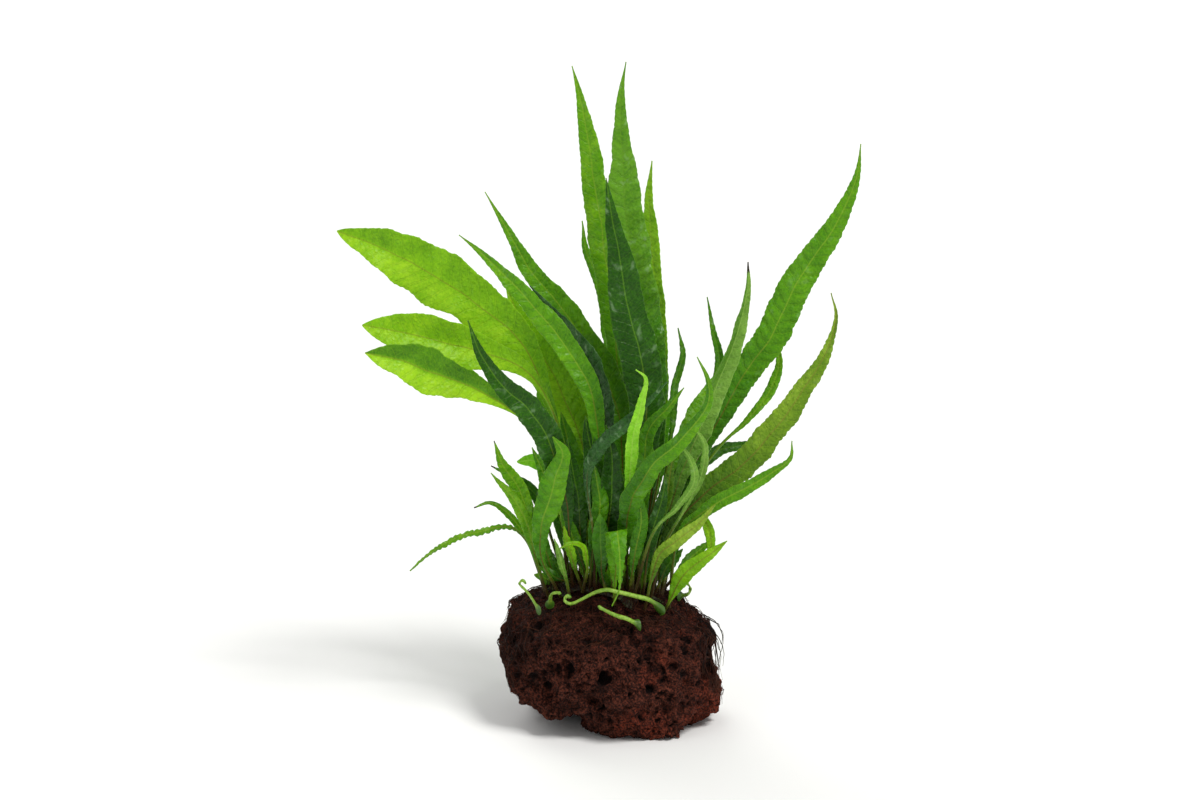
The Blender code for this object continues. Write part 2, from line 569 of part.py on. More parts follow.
def build_rhizome(stone_tree, finish, collection):
    """The creeping stem: lumpy branches grown together over the top of the stone."""
    shape = bmesh.new()
    for points, radius in RHIZOME_BRANCHES:
        route = []
        for x, y in points:
            route.append(Vector((x, y, surface_below(stone_tree, x, y) + radius * RHIZOME_SINK)))
        path = smooth_path(route, 4 * len(points))
        swells = [1 + NODE_SWELL * sin(NODE_TURN * number) for number in range(len(path))]
        radii = [radius * swell for swell in swells]
        shape.from_mesh(tube_mesh(path, radii, 2))
    piece = add_object("rhizome", mesh_from(shape, "rhizome"), finish, collection)
    melt = piece.modifiers.new("melt", "REMESH")
    melt.mode = "VOXEL"
    melt.voxel_size = RHIZOME_VOXEL * MILLIMETRE
    graph = bpy.context.evaluated_depsgraph_get()
    melted = bpy.data.meshes.new_from_object(piece.evaluated_get(graph))
    piece.modifiers.clear()
    for vertex in melted.vertices:
        x, y, z = vertex.co / MILLIMETRE
        floor = surface_below(stone_tree, x, y) + RHIZOME_LIFT
        vertex.co = place(x, y, max(z, floor))
    piece.data = melted
    melted.shade_smooth()
    return piece


def under_pad(middle, pad):
    """Whether a place on the stone, in millimetres, lies under a root pad."""
    low, high = pad
    return all(a < value < b for a, value, b in zip(low, middle, high))


def build_roots(name, stone, pad, hang, finish, collection):
    """A felted pad of hair roots that follows the stone's surface."""
    shape = bmesh.new()
    shape.from_mesh(stone.data)
    outside = [face for face in shape.faces
               if not under_pad(face.calc_center_median() / MILLIMETRE, pad)]
    normals = {vertex.index: vertex.normal.copy() for vertex in shape.verts}
    for vertex in shape.verts:
        vertex.co += normals[vertex.index] * ROOT_OFFSET * MILLIMETRE
    bmesh.ops.delete(shape, geom=outside, context="FACES")
    for trim in range(ROOT_TRIMS):
        spikes = [face for face in shape.faces if sum(edge.is_boundary for edge in face.edges) > 1]
        bmesh.ops.delete(shape, geom=spikes, context="FACES")
    lowest = min(vertex.co.z for vertex in shape.verts)
    for vertex in shape.verts:
        if hang and vertex.co.z < lowest + HANG_BAND * MILLIMETRE:
            vertex.co += place(*hang)
    piece = add_object(name, mesh_from(shape, name), finish, collection)
    felt = piece.modifiers.new("felt", "SOLIDIFY")
    felt.thickness = ROOT_THICKNESS * MILLIMETRE
    felt.offset = 1
    return piece


def half_width(frond, share):
    """Half the frond's width at a share of its length."""
    blade = max(0, (share - frond.start) / (1 - frond.start))
    bulge = log(0.5) / log(frond.widest)
    swell = max(0, sin(pi * min(1, blade) ** bulge))
    stalk = STALK_WIDTH * (1 - blade) + TIP_WIDTH * blade
    return 0.5 * sqrt(stalk ** 2 + (frond.width * swell ** frond.fullness) ** 2)


def frond_stations(frond):
    """Shares of the length at which the frond is modelled, few on the stalk."""
    count = BLADE_STATIONS + min(MOST_EXTRA_STATIONS, int(frond.width / WIDTH_PER_STATION))
    stalk = [frond.start * number / STALK_STATIONS for number in range(STALK_STATIONS)]
    blade = [frond.start + (1 - frond.start) * number / count for number in range(count + 1)]
    return stalk + blade


def build_frond(frond, ground, finish, collection):
    """One frond: a grid bent along the midrib, folded a little and given its thickness."""
    x, y = frond.foot
    foot = Vector((x, y, foot_height(ground, x, y, FOOT_CLEARANCE)))
    path = smooth_path([foot] + [seen(*point) for point in frond.midrib], PATH_STEPS)
    shares = frond_stations(frond)
    spans = len(shares) - 1
    shape = bmesh.new()
    bmesh.ops.create_grid(shape, x_segments=2, y_segments=spans, size=1)
    thickness = shape.verts.layers.deform.verify()
    face_low = Vector(frond.face_low)
    for vertex in shape.verts:
        side = round(vertex.co.x)
        share = shares[round((vertex.co.y + 1) / 2 * spans)]
        index = round(share * PATH_STEPS)
        along = (path[min(PATH_STEPS, index + 1)] - path[max(0, index - 1)]).normalized()
        across = along.cross(face_low.lerp(Vector(frond.face), share)).normalized()
        normal = across.cross(along)
        wide = half_width(frond, share)
        reach = wide * cos(radians(frond.fold)) * side
        lift = wide * sin(radians(frond.fold)) * abs(side)
        vertex.co = (path[index] + across * reach + normal * lift) * MILLIMETRE
        vertex[thickness][0] = max(0, 1 - share / frond.start)
    piece = add_object(frond.name, mesh_from(shape, frond.name), finish, collection)
    piece.vertex_groups.new(name="stalk")
    body = piece.modifiers.new("body", "SOLIDIFY")
    body.thickness = STALK_THICKNESS * MILLIMETRE
    body.offset = 0
    body.vertex_group = "stalk"
    body.thickness_vertex_group = BLADE_THICKNESS / STALK_THICKNESS
    piece.data.shade_smooth()
    return piece


def build_young_frond(young, ground, finish, collection):
    """A young frond: a round stem from a swollen knob to a curled tip."""
    x, y = young.foot
    knob_radius = young.radius * (1 + KNOB_SWELL)
    foot = Vector((x, y, foot_height(ground, x, y, knob_radius) + knob_radius * KNOB_SEAT))
    steps = 2 * len(young.midrib) + 2
    path = smooth_path([foot] + [seen(*point) for point in young.midrib], steps)
    radii = []
    for step in range(steps + 1):
        share = step / steps
        knob = KNOB_SWELL * max(0, 1 - share / KNOB_SHARE)
        radii.append(young.radius * (1 + knob) * (1 - YOUNG_TAPER * share))
    mesh = tube_mesh(path, radii, 1)
    mesh.shade_smooth()
    return add_object(young.name, mesh, finish, collection)


def build_plant():
    """The whole plant on its stone."""
    clear_scene()
    plant = make_collection("java_fern_on_stone")
    finishes = {name: make_finish(name) for name in FINISHES}
    stone = build_stone(finishes["lava_stone"], plant)
    rhizome = build_rhizome(tree_of(stone), finishes["rhizome"], plant)
    build_roots("hair_roots_left", stone, LEFT_PAD, None, finishes["hair_root"], plant)
    build_roots("hair_roots_right", stone, RIGHT_PAD, ROOT_HANG, finishes["hair_root"], plant)
    ground = tree_of(stone, rhizome)
    groups = (BROAD_LEFT_FRONDS, TALL_FRONDS, RIGHT_FRONDS, FRONT_FRONDS, LOW_LEFT_FRONDS,
              INNER_FRONDS)
    for group in groups:
        for frond in group:
            build_frond(frond, ground, finishes[frond.finish], plant)
    for young in YOUNG_FRONDS:
        build_young_frond(young, ground, finishes["young_stem"], plant)


build_plant()
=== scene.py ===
"""The look of a java fern grown on a piece of lava stone."""

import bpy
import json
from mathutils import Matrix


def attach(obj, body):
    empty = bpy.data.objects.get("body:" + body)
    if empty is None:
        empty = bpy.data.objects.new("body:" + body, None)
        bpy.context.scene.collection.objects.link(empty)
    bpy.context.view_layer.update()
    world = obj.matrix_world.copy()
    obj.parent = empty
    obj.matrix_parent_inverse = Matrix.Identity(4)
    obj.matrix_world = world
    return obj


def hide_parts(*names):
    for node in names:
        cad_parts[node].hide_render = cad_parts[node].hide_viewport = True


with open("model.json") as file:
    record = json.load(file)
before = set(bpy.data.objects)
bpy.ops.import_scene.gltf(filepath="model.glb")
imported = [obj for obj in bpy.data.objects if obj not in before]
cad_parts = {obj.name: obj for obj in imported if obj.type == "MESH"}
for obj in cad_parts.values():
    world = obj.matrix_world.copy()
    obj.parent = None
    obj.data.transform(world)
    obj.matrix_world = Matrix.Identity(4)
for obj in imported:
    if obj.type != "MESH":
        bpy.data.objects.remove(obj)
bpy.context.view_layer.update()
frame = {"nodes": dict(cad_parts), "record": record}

import json
from collections import namedtuple
from math import cos, log, pi, radians, sin

import bmesh
import bpy
from mathutils import Vector
from mathutils.bvhtree import BVHTree

MILLIMETRE = 0.001
SLOTS = {row["node"]: row["material_slot"] for row in frame["record"]["subparts"]}


# The stone: a fist-size lump of red-brown lava rock, full of pores and crumbly ridges.
# It was broken off and left rough, with a dark hole and a groove at the front, and it
# stands on its flattest side.

STONE_VOXEL = 0.64
STONE_ROUNDING = 8
# Uneven swells of the surface: size and height in millimetres
STONE_SWELLS = ((10, 2.6), (5, 1.7), (2.4, 1.1))
# Pores: spacing, largest reach as a share of the spacing, and depth in millimetres
STONE_PORES = ((8.5, 0.42, 2.2), (4.6, 0.5, 1.8), (2.9, 0.55, 1.3), (1.9, 0.6, 0.8))
# Deep hollows: start, end, radius and depth in millimetres
STONE_HOLLOWS = (
    ((-3, -42, 31.5), (-2.5, -42, 31), 2.6, 4),
    ((-31, -35, 30), (-29, -37, 17), 3, 2),
    ((-14, -40, 50), (-6, -42, 48), 2.4, 2),
)


def is_vector(value):
    """Whether a value or a wire carries a vector."""
    if isinstance(value, Wire):
        return value.socket.type in ("VECTOR", "RGBA")
    return isinstance(value, (tuple, Vector))


class Wire:
    """An output of a node, which is used in sums as the number or vector it carries."""

    def __init__(self, graph, socket):
        self.graph = graph
        self.socket = socket

    def out(self, name):
        """Another output of the same node."""
        return Wire(self.graph, self.socket.node.outputs[name])

    def __add__(self, other):
        return self.graph.sum("ADD", self, other)

    __radd__ = __add__

    def __sub__(self, other):
        return self.graph.sum("SUBTRACT", self, other)

    def __rsub__(self, other):
        return self.graph.sum("SUBTRACT", other, self)

    def __mul__(self, other):
        return self.graph.sum("MULTIPLY", self, other)

    __rmul__ = __mul__

    def __truediv__(self, other):
        return self.graph.sum("DIVIDE", self, other)

    def __rtruediv__(self, other):
        return self.graph.sum("DIVIDE", other, self)

    def __pow__(self, other):
        return self.graph.sum("POWER", self, other)

    def __abs__(self):
        return self.graph.sum("ABSOLUTE", self)

    def __lt__(self, other):
        return self.graph.sum("LESS_THAN", self, other)

    def __gt__(self, other):
        return self.graph.sum("GREATER_THAN", self, other)


class Graph:
    """A node tree that is written as sums and calls."""

    def __init__(self, tree):
        self.tree = tree

    def node(self, kind, settings, sockets):
        """Add a node: its settings come first, then the values or wires of its sockets."""
        node = self.tree.nodes.new(kind)
        for name, value in settings.items():
            if name == "captures":
                for carried, label in value:
                    node.capture_items.new(carried, label)
            elif name == "stops":
                while len(node.color_ramp.elements) < len(value):
                    node.color_ramp.elements.new(0.5)
                for stop, (place, colour) in zip(node.color_ramp.elements, value):
                    stop.position = place
                    stop.color = colour
            else:
                setattr(node, name, value)
        for name, value in sockets.items():
            if isinstance(name, int):
                socket = node.inputs[name]
            else:
                socket = next(one for one in node.inputs if one.name == name and one.enabled)
            if isinstance(value, Wire):
                self.tree.links.new(value.socket, socket)
            elif socket.type == "VECTOR" and isinstance(value, (int, float)):
                socket.default_value = (value, value, value)
            else:
                socket.default_value = value
        shown = [one for one in node.outputs if one.enabled]
        return Wire(self, shown[0]) if shown else None

    def sum(self, operation, *values):
        """A Math node, or a Vector Math node where a value is a vector."""
        vectors = any(is_vector(value) for value in values)
        kind = "ShaderNodeVectorMath" if vectors else "ShaderNodeMath"
        return self.node(kind, {"operation": operation}, dict(enumerate(values)))

    def mix(self, share, a, b):
        """From a to b, which are numbers, vectors or colours."""
        kind = "FLOAT"
        for value in (a, b):
            if isinstance(value, tuple) and len(value) == 4:
                kind = "RGBA"
            elif isinstance(value, Wire) and value.socket.type == "RGBA":
                kind = "RGBA"
            elif is_vector(value) and kind == "FLOAT":
                kind = "VECTOR"
        return self.node("ShaderNodeMix", {"data_type": kind}, {"Factor": share, "A": a, "B": b})

    def ease(self, value, low, high):
        """A smooth step from 0 at low to 1 at high."""
        return self.node("ShaderNodeMapRange", {"interpolation_type": "SMOOTHSTEP"},
                         {"Value": value, "From Min": low, "From Max": high})

    def noise(self, place, size, detail=2.0, out="Fac"):
        """Even noise from 0 to 1 whose features have this size."""
        return self.node("ShaderNodeTexNoise", {},
                         {"Vector": place, "Scale": 1 / size, "Detail": detail}).out(out)

    def parts(self, vector):
        """The three numbers of a vector."""
        split = self.node("ShaderNodeSeparateXYZ", {}, {"Vector": vector})
        return split, split.out("Y"), split.out("Z")

    def join(self, x, y, z):
        """A vector of three numbers."""
        return self.node("ShaderNodeCombineXYZ", {}, {"X": x, "Y": y, "Z": z})


class Shaper(Graph):
    """A Geometry Nodes tree with named inputs, whose result gets a material."""

    def __init__(self, name):
        super().__init__(bpy.data.node_groups.new(name, "GeometryNodeTree"))
        self.start = self.tree.nodes.new("NodeGroupInput")

    def input(self, name, kind):
        """A named input of the tree."""
        self.tree.interface.new_socket(name, in_out="INPUT", socket_type="NodeSocket" + kind)
        return Wire(self, self.start.outputs[name])

    def store(self, shape, name, value):
        """Keep a value at each point, for the material to read."""
        kind = "FLOAT_VECTOR" if is_vector(value) else "FLOAT"
        return self.node("GeometryNodeStoreNamedAttribute", {"data_type": kind},
                         {"Geometry": shape, "Name": name, "Value": value})

    def finish(self, shape):
        """End the tree: real geometry, smooth, with the material that it is given."""
        real = self.node("GeometryNodeRealizeInstances", {}, {"Geometry": shape})
        smooth = self.node("GeometryNodeSetShadeSmooth", {}, {"Geometry": real})
        dressed = self.node("GeometryNodeSetMaterial", {},
                            {"Geometry": smooth, "Material": self.input("Material", "Material")})
        self.tree.interface.new_socket("Geometry", in_out="OUTPUT",
                                       socket_type="NodeSocketGeometry")
        end = self.tree.nodes.new("NodeGroupOutput")
        self.tree.links.new(dressed.socket, end.inputs[0])
        return self


def colour(code, alpha=1.0):
    """A colour from its six-digit screen code, as the linear values that a shader takes."""
    parts = [int(code[place:place + 2], 16) / 255 for place in (0, 2, 4)]
    return (*[part / 12.92 if part <= 0.04045 else ((part + 0.055) / 1.055) ** 2.4
              for part in parts], alpha)


def finish_of(name, **constants):
    """A new material: its graph, its shader and the constants of the shader's sockets."""
    material = bpy.data.materials.new(name)
    material.use_nodes = True
    graph = Graph(material.node_tree)
    shader = material.node_tree.nodes["Principled BSDF"]
    for socket, value in constants.items():
        shader.inputs[socket.replace("_", " ")].default_value = value
    return material, graph, shader


def feed(graph, shader, **wires):
    """Link wires to the shader's sockets."""
    for socket, wire in wires.items():
        graph.tree.links.new(wire.socket, shader.inputs[socket.replace("_", " ")])


def object_millimetres(graph):
    """The place on the object, in millimetres."""
    place = graph.node("ShaderNodeTexCoord", {}, {}).out("Object")
    return graph.sum("MULTIPLY", place, (1 / MILLIMETRE,) * 3)


def new_piece(name, mesh):
    """A piece of the scene with this mesh."""
    piece = bpy.data.objects.new(name, mesh)
    bpy.context.scene.collection.objects.link(piece)
    return piece


def merged_copy(node, name):
    """A new piece with the mesh of a CAD node, its loose triangles merged."""
    shape = bmesh.new()
    shape.from_mesh(frame["nodes"][node].data)
    bmesh.ops.remove_doubles(shape, verts=shape.verts, dist=0.01 * MILLIMETRE)
    mesh = bpy.data.meshes.new(name)
    shape.to_mesh(mesh)
    shape.free()
    return new_piece(name, mesh)


def keep_shape(piece):
    """Turn what a piece's modifiers make into its plain mesh."""
    view = bpy.context.evaluated_depsgraph_get()
    mesh = bpy.data.meshes.new_from_object(piece.evaluated_get(view))
    piece.modifiers.clear()
    piece.data = mesh
    mesh.name = piece.name


def grow(piece, shaper, **values):
    """Run a shaper's tree on a piece with these inputs, and keep the plain mesh."""
    growth = piece.modifiers.new("growth", "NODES")
    growth.node_group = shaper.tree
    for entry in shaper.tree.interface.items_tree:
        label = entry.name.replace(" ", "_").lower()
        if entry.in_out == "INPUT" and label in values:
            growth[entry.identifier] = values[label]
    keep_shape(piece)


def seat(piece, slot, *nodes):
    """Fix a piece to the plant's body, in place of the nodes it stands for. The slot is not used."""
    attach(piece, "root")
    if nodes:
        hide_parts(*nodes)


def pore_depth(graph, spot, spacing, reach, depth):
    """Depth in millimetres of round pores of many sizes at this spacing."""
    cell = graph.node("ShaderNodeTexVoronoi", {}, {"Vector": spot, "Scale": 1 / spacing})
    luck = graph.parts(cell.out("Color"))[0]
    away = cell.out("Distance") / (reach * luck)
    bowl = graph.sum("MAXIMUM", 1 - away * away, 0.0)
    return bowl ** 0.5 * depth


def hollow_depth(graph, spot, start, end, radius, depth):
    """Depth in millimetres of a hollow along a line from start to end."""
    run = Vector(end) - Vector(start)
    away = spot - start
    share = graph.sum("DOT_PRODUCT", away, tuple(run)) / run.length_squared
    share = graph.node("ShaderNodeClamp", {}, {"Value": share})
    distance = graph.sum("LENGTH", away - share * tuple(run))
    return graph.ease(distance, radius, radius * 0.35) * depth


def stone_shaper():
    """Lava rock: rounded off, swollen, full of pores and hollows, and flat below."""
    graph = Shaper("lava stone")
    block = graph.input("Block", "Geometry")
    place = graph.node("GeometryNodeInputPosition", {}, {})
    rounded = graph.node("GeometryNodeBlurAttribute", {"data_type": "FLOAT_VECTOR"},
                         {"Value": place, "Iterations": STONE_ROUNDING})
    block = graph.node("GeometryNodeSetPosition", {}, {"Geometry": block, "Position": rounded})
    spot = graph.sum("MULTIPLY", place, (1 / MILLIMETRE,) * 3)
    warp = graph.noise(spot, 5, out="Color")
    spot = spot + (warp - (0.5, 0.5, 0.5)) * (3.0, 3.0, 3.0)
    height = 0.0
    for size, swell in STONE_SWELLS:
        height = (graph.noise(spot, size) - 0.55) * (2 * swell) + height
    depth = 0.0
    for spacing, reach, deep in STONE_PORES:
        depth = pore_depth(graph, spot, spacing, reach, deep) + depth
    hollows = 0.0
    for hollow in STONE_HOLLOWS:
        hollows = hollow_depth(graph, spot, *hollow) + hollows
    normal = graph.node("GeometryNodeInputNormal", {}, {})
    block = graph.store(block, "pit", graph.ease(depth + hollows, 0.1, 2.2))
    block = graph.store(block, "ridge", height)
    moved = place + normal * ((height - depth - hollows) * MILLIMETRE)
    x, y, z = graph.parts(moved)
    moved = graph.join(x, y, graph.sum("MAXIMUM", z, 0.0))
    block = graph.node("GeometryNodeSetPosition", {}, {"Geometry": block, "Position": moved})
    return graph.finish(block)


def lava_finish():
    """Dull, porous rock: red-brown ridges and grey-brown crust, with painted shade that darkens its low
    places and turns its pores near-black.
    """
    material, graph, shader = finish_of("lava_stone", Specular_IOR_Level=0.12)
    spot = object_millimetres(graph)
    pit = graph.node("ShaderNodeAttribute", {"attribute_name": "pit"}, {}).out("Fac")
    ridge = graph.node("ShaderNodeAttribute", {"attribute_name": "ridge"}, {}).out("Fac")
    grain = graph.noise(spot, 0.9, 5.0)
    patch = graph.noise(spot, 16, 3.0)
    crumb = graph.node("ShaderNodeTexVoronoi", {}, {"Vector": spot, "Scale": 1 / 0.9})
    speck = graph.parts(crumb.out("Color"))[0]
    x, y, z = graph.parts(spot)
    red_side = graph.ease(patch + x * 0.003 - z * 0.003, 0.5, 0.68)
    crust = graph.mix(graph.ease(grain, 0.4, 0.66), colour("200d09"), colour("5a2c1f"))
    red = graph.mix(graph.ease(grain, 0.38, 0.64), colour("2a0e09"), colour("783422"))
    tint = graph.mix(red_side, crust, red)
    tint = graph.mix(graph.ease(speck, 0.7, 0.95) * 0.28, tint, colour("7c4433"))
    # Painted shade in the low places of the surface
    tint = graph.mix(graph.ease(ridge, -0.4, -1.8) * 0.6, tint, colour("0c0605"))
    # Painted shade that turns the pores and hollows near-black
    tint = graph.mix(pit * 0.94, tint, colour("040202"))
    relief = graph.noise(spot, 0.7, 6.0) + crumb.out("Distance") * 0.8
    bump = graph.node("ShaderNodeBump", {}, {"Strength": 1.0, "Distance": 0.7 * MILLIMETRE,
                                             "Height": relief})
    rough = graph.mix(grain, 0.75, 1.0)
    feed(graph, shader, Base_Color=tint, Roughness=rough, Normal=bump)
    return material


stone = merged_copy("stone", "lava_stone")
remesh = stone.modifiers.new("even", "REMESH")
remesh.mode = "VOXEL"
remesh.voxel_size = STONE_VOXEL * MILLIMETRE
grow(stone, stone_shaper(), material=lava_finish())
seat(stone, SLOTS["stone"], "stone")


# The rhizome: a green-brown stem as thick as a pencil that creeps over the stone's top.
# It is covered with dark scales where it is old, and every frond stands on it.

RHIZOME_VOXEL = 0.6


def rhizome_shaper():
    """The creeping stem, swollen at its buds and covered with small scales."""
    graph = Shaper("rhizome")
    stem = graph.input("Stem", "Geometry")
    place = graph.node("GeometryNodeInputPosition", {}, {})
    rounded = graph.node("GeometryNodeBlurAttribute", {"data_type": "FLOAT_VECTOR"},
                         {"Value": place, "Iterations": 10})
    stem = graph.node("GeometryNodeSetPosition", {}, {"Geometry": stem, "Position": rounded})
    spot = graph.sum("MULTIPLY", place, (1 / MILLIMETRE,) * 3)
    scale = graph.node("ShaderNodeTexVoronoi", {}, {"Vector": spot, "Scale": 1 / 1.8})
    edge = graph.ease(scale.out("Distance"), 0.2, 0.7)
    height = (graph.noise(spot, 4) - 0.5) * 1.4 - edge * 0.5
    normal = graph.node("GeometryNodeInputNormal", {}, {})
    stem = graph.store(stem, "scale", edge)
    moved = place + normal * (height * MILLIMETRE)
    stem = graph.node("GeometryNodeSetPosition", {}, {"Geometry": stem, "Position": moved})
    return graph.finish(stem)


def rhizome_finish():
    """Olive-brown skin, blackish between its scales."""
    material, graph, shader = finish_of("rhizome")
    spot = object_millimetres(graph)
    scale = graph.node("ShaderNodeAttribute", {"attribute_name": "scale"}, {}).out("Fac")
    patch = graph.noise(spot, 6, 3.0)
    tint = graph.mix(graph.ease(patch, 0.4, 0.65), colour("2a2410"), colour("4f5a1c"))
    tint = graph.mix(scale * 0.8, tint, colour("140c06"))
    bump = graph.node("ShaderNodeBump", {}, {"Strength": 0.7, "Distance": 0.3 * MILLIMETRE,
                                             "Height": graph.noise(spot, 0.8, 4.0)})
    feed(graph, shader, Base_Color=tint, Roughness=graph.mix(patch, 0.55, 0.85), Normal=bump)
    return material


rhizome = merged_copy("rhizome", "creeping_rhizome")
remesh = rhizome.modifiers.new("even", "REMESH")
remesh.mode = "VOXEL"
remesh.voxel_size = RHIZOME_VOXEL * MILLIMETRE
grow(rhizome, rhizome_shaper(), material=rhizome_finish())
seat(rhizome, SLOTS["rhizome"], "rhizome")


# The hair roots: black-brown threads with which the rhizome clings to the stone. They
# run down over its shoulders as a matted felt, and some hang free at the right.

ROOT_POINTS = 11
ROOT_SIDES = 4
HANGING_ROOTS = (
    ((41, -8, 48), (45.5, -12, 45), (48, -14, 40), (49.5, -15, 34), (49.2, -16, 29)),
    ((42, -2, 49), (47, -6, 47), (50.4, -8, 42), (50.8, -9, 37)),
    ((44, 2, 46), (48.5, 0, 44), (50.6, -1, 39), (50.2, -2, 33), (48.6, -3, 27)),
    ((43, -14, 44), (47, -17, 41), (49, -18, 36), (48.4, -19, 31)),
    ((44, -6, 44), (48, -9, 41), (50.2, -11, 37), (50.9, -12, 33), (50.4, -13, 28)),
)
HANGING_RADIUS = 0.28


def root_shaper():
    """Threads strewn over a patch, which run along the stone and cling to it."""
    graph = Shaper("hair roots")
    patch = graph.input("Patch", "Geometry")
    ground = graph.input("Ground", "Object")
    density, length, radius, lift, spread = [
        graph.input(name, "Float") for name in ("Density", "Length", "Radius", "Lift", "Spread")]
    flow = graph.input("Flow", "Vector")
    outward, cling = graph.input("Outward", "Float"), graph.input("Cling", "Float")
    seed = graph.input("Seed", "Int")
    ground = graph.node("GeometryNodeObjectInfo", {}, {"Object": ground}).out("Geometry")
    place = graph.node("GeometryNodeInputPosition", {}, {})

    points = graph.node("GeometryNodeDistributePointsOnFaces", {},
                        {"Mesh": patch, "Density": density, "Seed": seed})
    normal = points.out("Normal")
    stray = graph.node("FunctionNodeRandomValue", {"data_type": "FLOAT_VECTOR"},
                       {"Min": (-1, -1, -1), "Max": (1, 1, 1), "Seed": seed})
    heading = flow + place * outward + stray * spread
    lying = graph.sum("CROSS_PRODUCT", normal, graph.sum("CROSS_PRODUCT", heading, normal))
    heading = graph.mix(cling, heading, lying)
    luck = graph.node("FunctionNodeRandomValue", {"data_type": "FLOAT"}, {"Seed": seed})
    turn = graph.node("FunctionNodeAlignRotationToVector", {"axis": "Z"}, {"Vector": heading})
    reach = graph.node("FunctionNodeRandomValue", {"data_type": "FLOAT"},
                       {"Min": length * 0.5, "Max": length * 1.4, "Seed": seed})
    thread = graph.node("GeometryNodeCurvePrimitiveLine", {"mode": "DIRECTION"},
                        {"Direction": (0, 0, 1), "Length": 1.0})
    thread = graph.node("GeometryNodeResampleCurve", {}, {"Curve": thread, "Count": ROOT_POINTS})
    threads = graph.node("GeometryNodeInstanceOnPoints", {},
                         {"Points": graph.store(points, "luck", luck), "Instance": thread, "Rotation": turn,
                          "Scale": graph.join(reach, reach, reach)})
    threads = graph.node("GeometryNodeRealizeInstances", {}, {"Geometry": threads})

    # Each thread wanders, and then lies on the stone at its own small height
    share = graph.node("GeometryNodeSplineParameter", {}, {})
    spot = graph.sum("MULTIPLY", place, (1 / MILLIMETRE,) * 3)
    coarse = graph.noise(spot, 9, out="Color") - (0.5, 0.5, 0.5)
    fine = graph.noise(spot, 2.6, out="Color") - (0.5, 0.5, 0.5)
    wander = coarse * (10 * MILLIMETRE) + fine * (2.4 * MILLIMETRE)
    threads = graph.node("GeometryNodeSetPosition", {},
                         {"Geometry": threads, "Offset": wander * (share * 0.8 + 0.2)})
    near = graph.node("GeometryNodeProximity", {}, {"Geometry": ground, "Sample Position": place})
    away = graph.node("GeometryNodeSampleNearestSurface", {"data_type": "FLOAT_VECTOR"},
                      {"Mesh": ground, "Value": graph.node("GeometryNodeInputNormal", {}, {}),
                       "Sample Position": place})
    height = graph.noise(spot, 3.2) * lift * 2 + 0.1
    lain = graph.mix(cling, place, near + away * (height * MILLIMETRE))
    threads = graph.node("GeometryNodeSetPosition", {}, {"Geometry": threads, "Position": lain})
    return close_threads(graph, threads, share, radius)


def close_threads(graph, threads, share, radius):
    """Give threads their thickness, thinning out towards the tip."""
    threads = graph.node("GeometryNodeCaptureAttribute", {"captures": (("FLOAT", "share"),)},
                         {"Geometry": threads, "share": share})
    kept_share = threads.out("share")
    ring = graph.node("GeometryNodeCurvePrimitiveCircle", {},
                      {"Resolution": ROOT_SIDES, "Radius": 1.0})
    taper = radius * (1.1 - share * 0.75) * MILLIMETRE
    threads = graph.node("GeometryNodeCurveToMesh", {},
                         {"Curve": threads, "Profile Curve": ring, "Fill Caps": True,
                          "Scale": taper})
    threads = graph.store(threads, "share", kept_share)
    return graph.finish(threads)


def loose_shaper():
    """Threads that hang free along lines."""
    graph = Shaper("loose roots")
    lines = graph.input("Lines", "Geometry")
    radius = graph.input("Radius", "Float")
    threads = graph.node("GeometryNodeMeshToCurve", {}, {"Mesh": lines})
    threads = graph.node("GeometryNodeResampleCurve", {}, {"Curve": threads, "Count": 26})
    share = graph.node("GeometryNodeSplineParameter", {}, {})
    spot = graph.sum("MULTIPLY", graph.node("GeometryNodeInputPosition", {}, {}),
                     (1 / MILLIMETRE,) * 3)
    wander = graph.noise(spot, 3, out="Color") - (0.5, 0.5, 0.5)
    threads = graph.node("GeometryNodeSetPosition", {},
                         {"Geometry": threads, "Offset": wander * (1.2 * MILLIMETRE)})
    return close_threads(graph, threads, share, radius)


def root_finish():
    """Black-brown threads, a few of them paler."""
    material, graph, shader = finish_of("hair_roots", Specular_IOR_Level=0.12)
    spot = object_millimetres(graph)
    patch = graph.noise(spot, 5, 3.0)
    fleck = graph.noise(spot, 0.8, 2.0)
    share = graph.node("ShaderNodeAttribute", {"attribute_name": "share"}, {}).out("Fac")
    luck = graph.node("ShaderNodeAttribute", {"attribute_name": "luck"}, {}).out("Fac")
    tint = graph.mix(graph.ease(luck + patch - 0.5, 0.3, 0.9), colour("120805"), colour("38190f"))
    tint = graph.mix(graph.ease(luck, 0.9, 1.0) * 0.7, tint, colour("5a3420"))
    tint = graph.mix(graph.ease(share, 0.7, 1.0) * 0.4, tint, colour("4a3020"))
    feed(graph, shader, Base_Color=tint, Roughness=graph.mix(fleck, 0.5, 0.8))
    return material


def strew_roots(piece, shaper, **values):
    """Grow hair roots from a patch."""
    grow(piece, shaper, ground=stone, material=ROOT_FINISH, **values)


ROOTS = root_shaper()
ROOT_FINISH = root_finish()
left_roots = merged_copy("hair_roots_left", "hair_felt_left")
strew_roots(left_roots, ROOTS, density=170000.0, length=10 * MILLIMETRE, radius=0.16, lift=0.3,
            spread=0.7, flow=(-0.3, -0.6, -0.5), outward=0.0, cling=1.0, seed=3)
seat(left_roots, SLOTS["hair_roots_left"], "hair_roots_left")
right_roots = merged_copy("hair_roots_right", "hair_felt_right")
strew_roots(right_roots, ROOTS, density=380000.0, length=15 * MILLIMETRE, radius=0.18, lift=0.8,
            spread=0.6, flow=(0.5, -0.35, -0.8), outward=0.0, cling=1.0, seed=5)
seat(right_roots, SLOTS["hair_roots_right"], "hair_roots_right")


